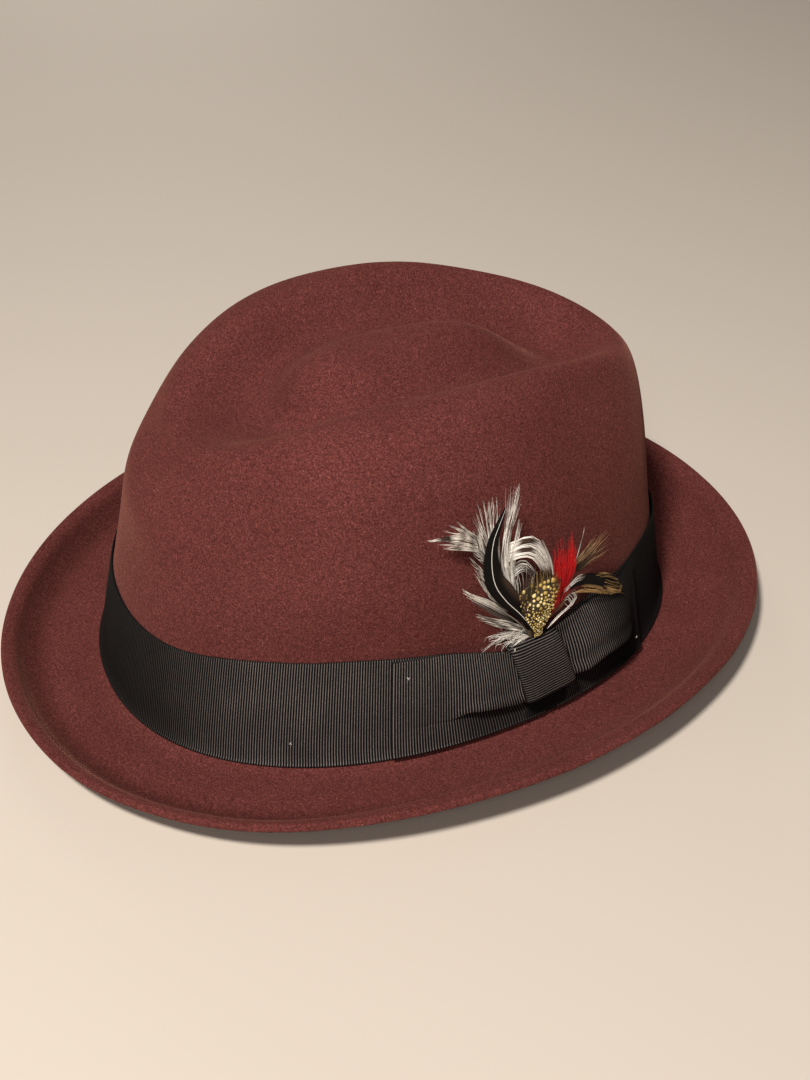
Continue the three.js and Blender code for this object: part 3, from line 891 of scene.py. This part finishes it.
FLARE_FROM = 40  # the height from which the feathers lean out from the crown
FLARE = 4  # how far out they lean 50 mm above it
STRAND = 8  # points along each strand
STRAY = 0.22  # share of strands that differ in colour from the ones beside them
STRAY_DARK = 0.5
BAR_EDGE = 2.0  # sharpness of the bars across a feather
FLUFF, FLUFF_STEMS = 54, 26
PALE_LOOPS = 11
QUILLS = 7
WRAP_POINTS, WRAP_TURNS = 160, 10
DOTS = 166
DOT_TRIES = 6000
DOT_GAP = 1.12  # least distance between two dots, over the sum of their sizes


def flare(h):
    return FLARE * (np.maximum(h - FLARE_FROM, 0) / 50) ** 1.2


class Plume:
    """Collects a feather's strands and blades, given by arc, height and distance out, then builds it."""

    def __init__(self, name, seed, level):
        self.name = name
        self.random = random.Random(seed)
        self.level = level
        self.strands = []
        self.parts = []

    def strand(self, path, width, tone):
        """One thin flat strand along a path of three or more places, width at its root in millimetres."""
        self.strands.append((curve_through(path, STRAND), width, np.broadcast_to(tone, STRAND)))

    def comb(self, guides, count, width=0.34, clump=6, pull=0.75, wave=0.5, tone=0.0, ragged=0.12):
        """Strands that lie between guide strands. Each guide is (root, middle, tip); tips gather in clumps.
        tone is a number, or a function of the place along a strand and of the strand's share of the comb."""
        rnd = self.random
        guides = np.array(guides, float)
        scale = (len(guides) - 1) / (count - 1)

        def between(k):
            i = min(int(k), len(guides) - 2)
            return guides[i] + (guides[i + 1] - guides[i]) * (k - i)

        for n in range(count):
            path = between(n * scale)
            centre = between(min((n // clump + 0.5) * clump * scale, len(guides) - 1))
            path[2] += (centre[2] - path[2]) * pull
            reach = 1 - rnd.uniform(0, ragged)
            path[2] = path[0] + (path[2] - path[0]) * reach
            path[1] += [rnd.uniform(-wave, wave), rnd.uniform(-wave, wave), rnd.uniform(0, wave)]
            path[2] += [rnd.uniform(-0.25, 0.25), rnd.uniform(-0.25, 0.25), rnd.uniform(-0.3, 0.6)]
            values = tone(np.linspace(0, 1, STRAND), n / (count - 1)) if callable(tone) else tone
            values = np.clip(values + STRAY_DARK * (rnd.random() < STRAY), 0, 1.2)
            self.strand(path, width * rnd.uniform(0.75, 1.25), values)

    def lay(self, path):
        """Points of paths given by arc, height and distance out, and the directions along, aside and out."""
        s, h = path[..., 0], path[..., 1]
        off = path[..., 2] + self.level + flare(h)
        centre = wall(s, h, off)
        tangent = unit(np.gradient(centre, axis=-2))
        side = unit(np.cross(tangent, wall(s, h, off + 1) - centre))
        return centre, tangent, side, np.cross(side, tangent)

    def blade(self, spine, halves, thick=0.22, curl=0.04, tone=None, columns=11, ragged=0.0):
        """A closed blade. halves gives its width on either side at places 0 to 1 along the spine."""
        rows = 64
        centre, _, side, outward = self.lay(curve_through(spine, rows))
        v = np.linspace(0, 1, rows)
        left, right = halves(v)
        w = np.linspace(-1, 1, columns)
        reach = np.where(w < 0, w * left[:, None], w * right[:, None])
        if ragged:
            jag = np.array([self.random.uniform(1 - ragged, 1) for _ in v])[:, None]
            reach = np.where(np.abs(w) > 0.9, reach * jag, reach)
        top = centre[:, None] + side[:, None] * reach[..., None]
        top -= outward[:, None] * (curl * reach**2)[..., None]
        verts, faces = closed_sheet(top, top - outward[:, None] * thick)
        values = tone(v[:, None], reach) + 0 * reach if tone else 0 * reach
        self.parts.append((verts, faces, np.concatenate([values.ravel()] * 2), np.zeros(len(verts))))

    def finish(self, material, node):
        if self.strands:
            self.parts.append(self.weave())
        verts, faces, bar, end = zip(*self.parts)
        points, faces = join(zip(verts, faces))
        labels = [("bar", np.concatenate(bar)), ("end", np.concatenate(end))]
        mesh_piece(self.name, points, faces, material, node, labels, "feather_bunch")

    def weave(self):
        """All strands as flat four-sided closed prisms that taper to their tips."""
        path, width, tone = (np.array(values) for values in zip(*self.strands))
        centre, _, side, outward = self.lay(path)
        r = np.linspace(0, 1, STRAND)
        swell = 0.55 + 0.45 * np.sin(np.clip(r * 3, 0, 1) * 1.57)
        half = (width[:, None] / 2 * swell * (1 - 0.9 * r**2.2))[..., None]
        wide, thin = side * half, outward * np.minimum(half, 0.07)
        verts = np.stack([centre + wide, centre + thin, centre - wide, centre - thin], 2).reshape(-1, 3)
        last = (STRAND - 1) * 4
        caps = np.array([[0, 1, 2, 3], [last + 3, last + 2, last + 1, last]])
        one = np.concatenate([grid_faces(STRAND, 4, wrap=True)[:, ::-1], caps])
        faces = (one[None] + (np.arange(len(path)) * STRAND * 4)[:, None, None]).reshape(-1, 4)
        return verts, faces, np.repeat(tone.ravel(), 4), np.zeros(len(verts))


def bars(period, high, phase=0.0, slant=0.0, low=0.0, length=14.0):
    """Cross bars every period millimetres along strands about length long, from low to high in darkness."""

    def tone(r, share):
        wave = np.tanh(BAR_EDGE * np.sin(2 * math.pi * (r * length / period + phase + slant * share)))
        return low + (high - low) * (0.5 + 0.5 * wave)

    return tone


def feathers():
    quills()
    fluff()
    barred_feathers()
    white_feathers()
    black_feather()
    front_feathers()
    pad()


def fluff():
    p = Plume("plume_fluff", 11, 2.4)
    rnd = p.random
    for _ in range(FLUFF):
        turn = rnd.uniform(-0.15, 1.0)
        root = np.array([14 - 5 * rnd.random(), 34.5 + 2.5 * rnd.random(), rnd.uniform(0, 2.0)])
        reach = rnd.uniform(4, 13)
        tip = root + [-reach * math.cos(turn), reach * 0.55 * math.sin(turn), rnd.uniform(-0.5, 2.5)]
        middle = (root + tip) / 2 + [rnd.uniform(-2, 2), rnd.uniform(0.5, 3), rnd.uniform(0, 1.6)]
        curl = tip + [rnd.uniform(-1.5, 1.5), rnd.uniform(-2.2, 1.0), 0]
        p.strand([root, middle, tip, curl], 0.15, rnd.uniform(0, 0.3))
    for _ in range(FLUFF_STEMS):
        a = rnd.uniform(-0.25, 0.35)
        root = np.array([14.5, 34.8, 1.2 + rnd.random()])
        reach = rnd.uniform(5, 10)
        tip = root + [-reach * math.cos(a), reach * math.sin(a), rnd.uniform(-0.5, 0.8)]
        middle = (root + tip) / 2 + [0, rnd.uniform(0, 1.5), rnd.uniform(0, 1.0)]
        p.strand([root, middle, tip], 0.3, rnd.uniform(0, 0.2))
    p.finish(WHITE_FEATHER, "down_fluff")


def barred_feathers():
    p = Plume("plume_barred_left", 12, 2.2)
    p.strand([(14, 38, 0), (3, 60, 0.6), (-5, 74, 1), (-21, 78.5, 1.4)], 0.5, 0.3)
    p.comb([
        [(-2, 70, 0.4), (-9, 73, 1), (-18, 74.5, 1)],
        [(-3, 72, 0.6), (-10, 75.5, 1.2), (-21, 78, 1.5)],
        [(-4, 74, 0.8), (-10, 77.5, 1.4), (-19, 80.5, 1.6)],
        [(-3, 75, 0.8), (-9, 79, 1.4), (-14, 83.5, 1.6)],
    ], 46, width=0.28, clump=7, pull=0.85, wave=0.7, tone=bars(5.2, 0.75, 0.35, 0.4), ragged=0.3)
    p.comb([
        [(5, 56, 0), (-1, 66, 0.6), (-8, 72, 1)],
        [(3, 60, 0), (-3, 70, 0.6), (-7, 78, 1)],
        [(1, 66, 0), (-3, 74, 0.8), (-4, 81, 1)],
    ], 46, width=0.26, wave=0.6, tone=bars(2.6, 0.95, 0.0, 1.0), ragged=0.25)
    p.comb([
        [(-9, 76, 1.2), (-15, 77.3, 1.6), (-23.5, 78, 1.6)],
        [(-9, 77, 1.3), (-15, 78.6, 1.7), (-24.5, 79, 1.7)],
    ], 9, width=0.4, clump=9, tone=lambda r, share: 1.2 - 1.7 * smooth(np.abs(r - 0.66), 0.06, 0.26))
    p.finish(BARRED_FEATHER, "hackle_barred_left")

    p = Plume("plume_left_long", 23, 3.0)
    p.comb([
        [(8, 46, 0), (2, 52, 0.5), (-4, 60, 0.6)],
        [(5, 51, 0), (-2.5, 59, 0.6), (-7, 65, 0.8)],
        [(2, 57, 0), (-4, 66, 0.6), (-10.5, 73.5, 0.9)],
    ], 34, width=0.24, clump=5, tone=bars(3.8, 0.85, 0.2, 0.5), ragged=0.25)
    p.finish(BARRED_FEATHER, "hackle_barred_left")

    p = Plume("plume_low_upper", 16, 3.6)
    p.strand([(15, 36, 0), (6, 47, 0.6), (-12, 62, 1)], 0.45, 0.3)
    p.comb([
        [(11, 40, 0), (2, 48, 0.8), (-9.5, 57.5, 0.8)],
        [(9, 43, 0), (0, 52, 1.0), (-12, 61, 1.1)],
        [(5, 49, 0), (-2, 55, 0.9), (-13, 63, 1.1)],
    ], 36, width=0.27, tone=bars(3.0, 0.95, 0.0, 0.7, length=22), ragged=0.25)
    p.finish(BARRED_FEATHER, "hackle_low_upper")

    p = Plume("plume_low_lower", 17, 4.2)
    p.comb([
        [(14, 36.5, 0), (7, 41, 0.8), (-2, 46, 0.6)],
        [(13, 38, 0), (5, 43.5, 1.0), (-6.5, 50, 0.9)],
        [(12, 40, 0), (3, 46.5, 0.9), (-8.5, 53, 1.0)],
    ], 34, width=0.28, tone=bars(4.0, 0.8, 0.4, 0.5, length=20), ragged=0.25)
    p.finish(BARRED_FEATHER, "hackle_low_lower")


def white_feathers():
    p = Plume("plume_white_tall", 13, 4.4)
    p.comb([
        [(2, 64, 0), (-3, 74, 0.5), (-8.5, 83, 0.8)],
        [(2, 66, 0), (-2, 77, 0.6), (-5.5, 88, 1.0)],
        [(2, 68, 0), (0, 78, 0.6), (0.5, 88, 1.0)],
        [(3, 66, 0), (2.5, 78, 0.7), (4.5, 88, 1.1)],
    ], 44, width=0.22, pull=0.9, wave=0.8, tone=bars(4.2, 0.7, 0.3, 0.8, length=20), ragged=0.25)
    p.comb([
        [(9, 50, 0), (3.5, 66, 0.5), (6.5, 88.5, 1.0)],
        [(10, 50, 0), (4.5, 68, 0.6), (9.5, 88, 1.1)],
        [(10, 52, 0), (5.5, 70, 0.8), (12.5, 89, 1.4)],
    ], 38, width=0.26, pull=0.9, wave=0.8, tone=bars(7.5, 0.6, 0.3, 0.6, length=36), ragged=0.2)
    p.comb([[(8, 56, 0), (6, 66, 0.8), (10, 80, 1.3)], [(8, 54, 0), (7, 64, 1.0), (11, 77.5, 1.4)]],
           14, width=0.26, clump=5, tone=bars(6, 0.5))
    p.strand([(15, 38, 0), (7, 55, 0.6), (4, 72, 0.9), (12, 88, 1.3)], 0.45, 0)
    p.finish(WHITE_FEATHER, "hackle_white_tall")

    p = Plume("plume_white_arc", 14, 5.0)

    def patches(r, share):
        dark = smooth(r, 0.14, 0.28) * (1 - smooth(r, 0.44, 0.60)) * smooth(share, 0.30, 0.42)
        return 1.1 * dark * ((share * 2.6 + 0.2) % 1 < 0.62) + 0.12 * smooth(r, 0.5, 1.0)

    p.comb([
        [(4.5, 66.5, 0), (13, 66.0, 1.2), (20.5, 57.5, 0.6)],
        [(4.5, 69, 0), (14.5, 68.5, 1.8), (23, 56.5, 1.0)],
        [(5.5, 72, 0), (15.5, 71.3, 1.6), (25.5, 56, 0.8)],
    ], 56, width=0.31, clump=8, pull=0.4, tone=patches)
    p.comb([[(4, 63, 0), (11.5, 65.4, 0.4), (19, 57, 0.2)], [(6, 60, 0), (11.5, 62, 0.4), (17, 54.5, 0.2)]],
           14, width=0.17, clump=3, pull=0.2, wave=0.4, tone=bars(2.2, 0.9, 0.0, 0.5, low=0.1, length=18))
    p.comb([[(9, 50, 0.3), (8, 58, 0.6), (6, 65, 0.4)], [(15, 50, 0.3), (14.5, 57, 0.8), (16.5, 63, 0.6)]],
           18, width=0.17, clump=3, tone=bars(2.4, 0.9, 0.2, 0.8, low=0.1, length=15), ragged=0.3)
    p.finish(WHITE_FEATHER, "feather_white_arc")


def black_feather():
    rise = [(16.8, 35, 0), (13.5, 41, 0.4), (9, 48, 0.8), (3, 55.5, 1.1), (-1, 62, 1.3)]
    spine = rise + [(-2, 68.5, 1.3), (-1, 74, 1.2), (2, 79, 1.0), (5.2, 83.5, 0.8)]
    p = Plume("plume_black", 18, 6.2)

    def halves(v):
        left = 2.6 * np.clip(v / 0.5, 0, 1) ** 0.8 * np.clip((1 - v) / 0.42, 0, 1) ** 0.75
        swell = 2.6 + 2.0 * hill(v, 0.40, 0.14)
        right = swell * np.clip(v / 0.30, 0, 1) ** 0.9 * np.clip((1 - v) / 0.40, 0, 1) ** 0.8
        return left + 0.12, right + 0.12

    def brown(v, x):
        return 0.85 * smooth(x, 1.8, 4.2) * (1 - smooth(v, 0.45, 0.62))

    p.blade(spine, halves, curl=0.05, tone=brown)
    p.comb([
        [(12, 43, 0.6), (10, 48, 1.0), (7.5, 57, 1.0)],
        [(15, 39, 0.6), (13.5, 46, 1.2), (10.5, 55, 1.2)],
    ], 22, width=0.24, clump=4, tone=lambda r, share: 0.6 + 0.4 * r)
    p.finish(BLACK_FEATHER, "feather_black_biot")
    p = Plume("plume_black_shaft", 19, 6.42)
    lower = [(17.6, 35.5, 0.2), (15.6, 40, 0.8), (12.8, 45.5, 1.2), (9.5, 51, 1.2)]
    for line, half, thick, pale in ((spine, 0.13, 0.12, 0.12), (lower, 0.09, 0.1, 0.3)):
        taper = lambda v: (half * (1 - v**3), half * (1 - v**3))
        p.blade(line, taper, thick=thick, tone=lambda v, x: pale + 0 * v, columns=3)
    p.finish(WHITE_FEATHER, "feather_black_biot")


def front_feathers():
    def brown_root(r, share):
        return np.maximum(0.95 * (1 - smooth(r, 0.2, 0.5)), 0.85 * (np.sin(share * 58) > 0.35))

    p = Plume("plume_tan", 15, 3.8)
    p.comb([
        [(30, 53, 0), (34, 56.5, 0.6), (39, 60, 1.0)],
        [(31, 53, 0), (38, 57, 0.8), (47, 62, 1.2)],
        [(32, 52, 0), (41, 56, 0.8), (53.5, 60, 1.3)],
        [(33, 51, 0), (42, 53, 0.8), (53, 52.5, 1.0)],
    ], 44, width=0.30, clump=4, ragged=0.3, wave=0.7, tone=brown_root)
    p.comb([[(24, 40, 0.5), (29, 46, 1.2), (30, 53, 0.8)], [(22, 38, 0.5), (28, 43, 1.4), (34, 50, 0.8)]],
           10, width=0.2, clump=3, tone=0.4)
    p.finish(TAN_FEATHER, "hackle_tan")

    p = Plume("plume_dark_front", 20, 6.0)
    spine = [(28, 47.5, 0), (35, 49.0, 0.6), (42.3, 45.8, 0.9), (49.3, 40.3, 0.9), (55.5, 35.2, 0.5)]

    def edge_bands(v, x):
        low = smooth(x, 1.3, 2.1) * smooth(v, 0.05, 0.2)
        far = smooth(-x, 1.6, 2.4) * smooth(v, 0.6, 0.7)
        return np.clip(low + far + smooth(v, 0.93, 0.99), 0, 1)

    def halves(v):
        half = (0.4 + 2.6 * smooth(v, 0.08, 0.4)) * (1 - 0.55 * smooth(v, 0.85, 1.0))
        return half, half

    def tan_sides(r, share):
        return 1.2 * smooth(np.abs(share - 0.42), 0.26, 0.42) * smooth(r, 0.1, 0.4)

    p.blade(spine, halves, tone=edge_bands, ragged=0.3, curl=0.05)
    p.comb([
        [(41, 49.2, 0.8), (47, 47.0, 1.1), (53.5, 42.0, 0.8)],
        [(47, 44, 0.9), (51, 41, 1.1), (56.5, 37, 0.7)],
        [(45, 41.5, 0.8), (50, 37.5, 1.0), (57, 32.5, 0.6)],
    ], 26, width=0.36, clump=4, tone=tan_sides, ragged=0.25)
    p.comb([
        [(31, 46.4, 0.6), (37, 44.7, 0.9), (44, 40, 0.8)],
        [(35, 45.4, 0.6), (43, 41.5, 1.0), (51, 35.5, 0.8)],
    ], 12, width=0.34, tone=1.0)
    p.finish(DARK_FEATHER, "feather_dark_front")

    p = Plume("plume_pale_loops", 24, 6.6)
    p.comb([
        [(27, 50, 0.4), (32, 53, 0.9), (38, 52.5, 0.8)],
        [(27, 48.5, 0.4), (31, 51, 0.9), (37, 50.5, 0.8)],
    ], 9, width=0.18, clump=3, tone=0.25, ragged=0.3)
    rnd = p.random
    for n in range(PALE_LOOPS):
        a = n / (PALE_LOOPS - 1) + rnd.uniform(-0.1, 0.1)
        low, high = rnd.uniform(-1.2, 1.2), rnd.uniform(-1.5, 1.5)
        loop = [
            (20 + 2 * a, 36.5 + 2 * a, 0),
            (24.5 + 2 * a + low, 40 + 2 * a, 1.0),
            (31.5 - 3 * a, 45 - 2 * a + high, 1.5),
            (31 - 4 * a, 48.5 - 3 * a + high, 1.0),
            (27, 46.5 - 2 * a, 0.6),
        ]
        p.strand(loop, 0.17, 0.15 + 0.6 * (n % 3 == 0))
    p.finish(WHITE_FEATHER, "hackle_tan")

    p = Plume("plume_red", 21, 6.4)
    p.comb([
        [(23.5, 49, 0), (22.3, 59, 1.0), (21.0, 67.5, 1.4)],
        [(25, 48, 0), (24.5, 59, 1.3), (23.5, 69.5, 1.8)],
        [(26.5, 48, 0), (27.6, 58, 1.4), (26.5, 68, 1.8)],
        [(27.5, 49, 0), (29, 58, 1.2), (29.5, 69.5, 1.8)],
        [(28.5, 50, 0), (30.2, 57, 1.0), (31, 64, 1.4)],
    ], 84, width=0.24, clump=5, pull=0.88, wave=0.9, ragged=0.38,
        tone=lambda r, share: 0.5 * (1 - smooth(r, 0.1, 0.4)))
    p.comb([[(22, 42, 0.4), (22.5, 48, 1.2), (20, 56, 1.0)], [(27, 46, 0.4), (28, 50, 1.2), (29, 56, 1.0)]],
           16, width=0.22, clump=3, wave=0.9, tone=0.7, ragged=0.4)
    p.finish(RED_FEATHER, "feather_red")

    p = Plume("plume_red_strays", 25, 6.6)
    p.comb([
        [(27, 54, 0.4), (31.5, 60, 1.0), (35.5, 68.5, 1.4)],
        [(27.5, 54, 0.4), (31.5, 59.5, 1.0), (35, 68, 1.4)],
    ], 5, width=0.26, clump=5, tone=0.35)
    p.comb([
        [(22, 56, 0.4), (20.5, 63, 1.0), (16.5, 72, 1.4)],
        [(22.3, 56, 0.4), (20.7, 63, 1.0), (16.9, 71.6, 1.4)],
    ], 4, width=0.26, clump=5, tone=0.45)
    p.finish(WHITE_FEATHER, "feather_red")


def quills():
    """The quills and the thread that is wound round them."""
    rnd = random.Random(5)
    parts = []
    for n in range(QUILLS):
        s = 14.5 + 0.75 * n
        off = 2.3 + 0.5 * math.sin(n)
        path = wall(np.linspace(s * 0.6 + 6, s, 12), np.linspace(7, 36, 12), off)
        parts.append(tube_points(path, 0.35 + rnd.uniform(-0.05, 0.05)))
    k = np.arange(WRAP_POINTS)
    a = k / WRAP_POINTS * 2 * math.pi * WRAP_TURNS
    parts.append(tube_points(wall(16.8 + 3.0 * np.cos(a), 14 + k * 0.07, 2.4 + 0.75 * np.sin(a)), 0.16, 6))
    points, faces = join(parts)
    labels = [(label, np.zeros(len(points))) for label in ("bar", "end")]
    mesh_piece("plume_quills", points, faces, QUILL, "feather_quills", labels, "feather_bunch")


def pad():
    """Dark backing with small gold dots, larger towards the top, and short strands round its edge."""
    p = Plume("plume_pad", 22, 6.4)
    rnd = p.random
    spine = [(16.6, 35, 0), (16.8, 42, 1.2), (17.2, 50, 1.8), (18, 57.5, 1.6)]

    def half(v):
        return 1.3 + 6.5 * smooth(v, 0, 0.8)

    def round_end(v):
        return np.sqrt(np.clip(1 - (np.clip(v - 0.8, 0, 1) / 0.205) ** 2, 0.02, 1))

    p.blade(spine, lambda v: (half(v) * round_end(v), half(v) * round_end(v)), thick=0.8, curl=0.035)
    p.comb([
        [(11.5, 51, 1), (10.5, 55, 1.4), (10, 60.5, 1.0)],
        [(17, 53, 1), (17, 57, 1.4), (17.5, 62, 1.0)],
        [(23, 51, 1), (24, 54, 1.4), (25, 58, 1.0)],
    ], 44, width=0.4, clump=4)
    rows = 80
    centre, tangent, side, outward = p.lay(curve_through(spine, rows))
    shape, faces = ball()
    placed = []
    for _ in range(DOT_TRIES):
        v = rnd.uniform(0.03, 1.0)
        x = rnd.uniform(-1.0, 1.0) * float(half(v) * (0.25 + 0.75 * round_end(v)))
        size = (0.26 + 0.46 * v**1.3) * rnd.choice((0.7, 0.85, 1.0, 1.3))
        i = int(v * (rows - 1))
        spot = centre[i] + side[i] * x
        if any(np.linalg.norm(spot - other) < DOT_GAP * (size + radius) for other, radius in placed):
            continue
        placed.append((spot, size))
        scale = np.array([size, size * rnd.uniform(1.0, 1.25), size * 0.7])
        verts = (shape * scale) @ np.stack([side[i], tangent[i], outward[i]])
        verts += spot + outward[i] * (0.12 - 0.035 * x * x)
        bright = rnd.random() ** 2
        bar = 0.6 + 0.4 * rnd.random()
        p.parts.append((verts, faces, np.full(len(verts), bar), np.full(len(verts), bright)))
        if len(placed) == DOTS:
            break
    p.finish(GOLD_DOT, "pad_speckled")


def ball(rings=5, sides=8):
    """Points and faces of a small ball of radius 1."""
    a = np.linspace(0, math.pi, rings + 1)[1:-1]
    b = around(sides)
    x, y = np.outer(np.sin(a), np.cos(b)), np.outer(np.sin(a), np.sin(b))
    ring = np.stack([x, y, np.outer(np.cos(a), np.ones(sides))], -1)
    points = np.concatenate([ring.reshape(-1, 3), [[0, 0, 1], [0, 0, -1]]])
    return points, capped_faces(len(a), sides, flip=True)


feathers()

# ---------------------------------------------------------------- room, light and camera

CAMERA_AT = Vector((-376.88, 167.51, 340.39 + BREAK_Z)) * MM
CAMERA_AZIMUTH = math.radians(245.014)
CAMERA_ELEVATION = math.radians(37.403)
CAMERA_ROLL = math.radians(-0.64)
CAMERA_LENS = 47.705


def camera():
    data = bpy.data.cameras.new("camera")
    data.sensor_width = 36
    data.lens = CAMERA_LENS
    data.clip_start = 0.01
    piece = add_object("camera", data)
    a, e = CAMERA_AZIMUTH, CAMERA_ELEVATION
    back = Vector((math.sin(a) * math.cos(e), -math.cos(a) * math.cos(e), math.sin(e)))
    right = Vector((0, 0, 1)).cross(back).normalized()
    up = back.cross(right)
    r = math.cos(CAMERA_ROLL) * right + math.sin(CAMERA_ROLL) * up
    u = math.cos(CAMERA_ROLL) * up - math.sin(CAMERA_ROLL) * right
    piece.matrix_world = Matrix.Translation(CAMERA_AT) @ Matrix((r, u, back)).transposed().to_4x4()
    bpy.context.scene.camera = piece


def lamp(name, at, size, power, color):
    data = bpy.data.lights.new(name, "AREA")
    data.shape = "DISK"
    data.size = size
    data.energy = power
    data.color = color
    piece = add_object(name, data)
    piece.location = at
    piece.rotation_euler = (-Vector(at) + Vector((0, 0, 0.05))).to_track_quat("-Z", "Y").to_euler()


def room():
    mesh = bpy.data.meshes.new("floor")
    r = 3.0  # half the floor's width in metres
    mesh.from_pydata([(-r, -r, 0), (r, -r, 0), (r, r, 0), (-r, r, 0)], [], [(0, 1, 2, 3)])
    n = Nodes("floor_pale", 0.75)
    n.color((0.60, 0.54, 0.47))
    mesh.materials.append(n.material)
    add_object("floor", mesh)
    world = bpy.data.worlds.new("world")
    world.use_nodes = True
    sky = world.node_tree.nodes["Background"].inputs
    sky["Color"].default_value = (1.0, 0.96, 0.92, 1)
    sky["Strength"].default_value = 0.07
    bpy.context.scene.world = world
    lamp("key", (-0.46, 0.50, 1.12), 0.16, 19.5, (1.0, 0.93, 0.86))
    lamp("fill", (-0.95, 0.55, 0.95), 0.40, 4.0, (1.0, 0.96, 0.91))
    lamp("far", (1.15, -0.25, 0.45), 0.60, 2.4, (1.0, 0.95, 0.90))
    bpy.context.scene.view_settings.view_transform = "Standard"


camera()
room()
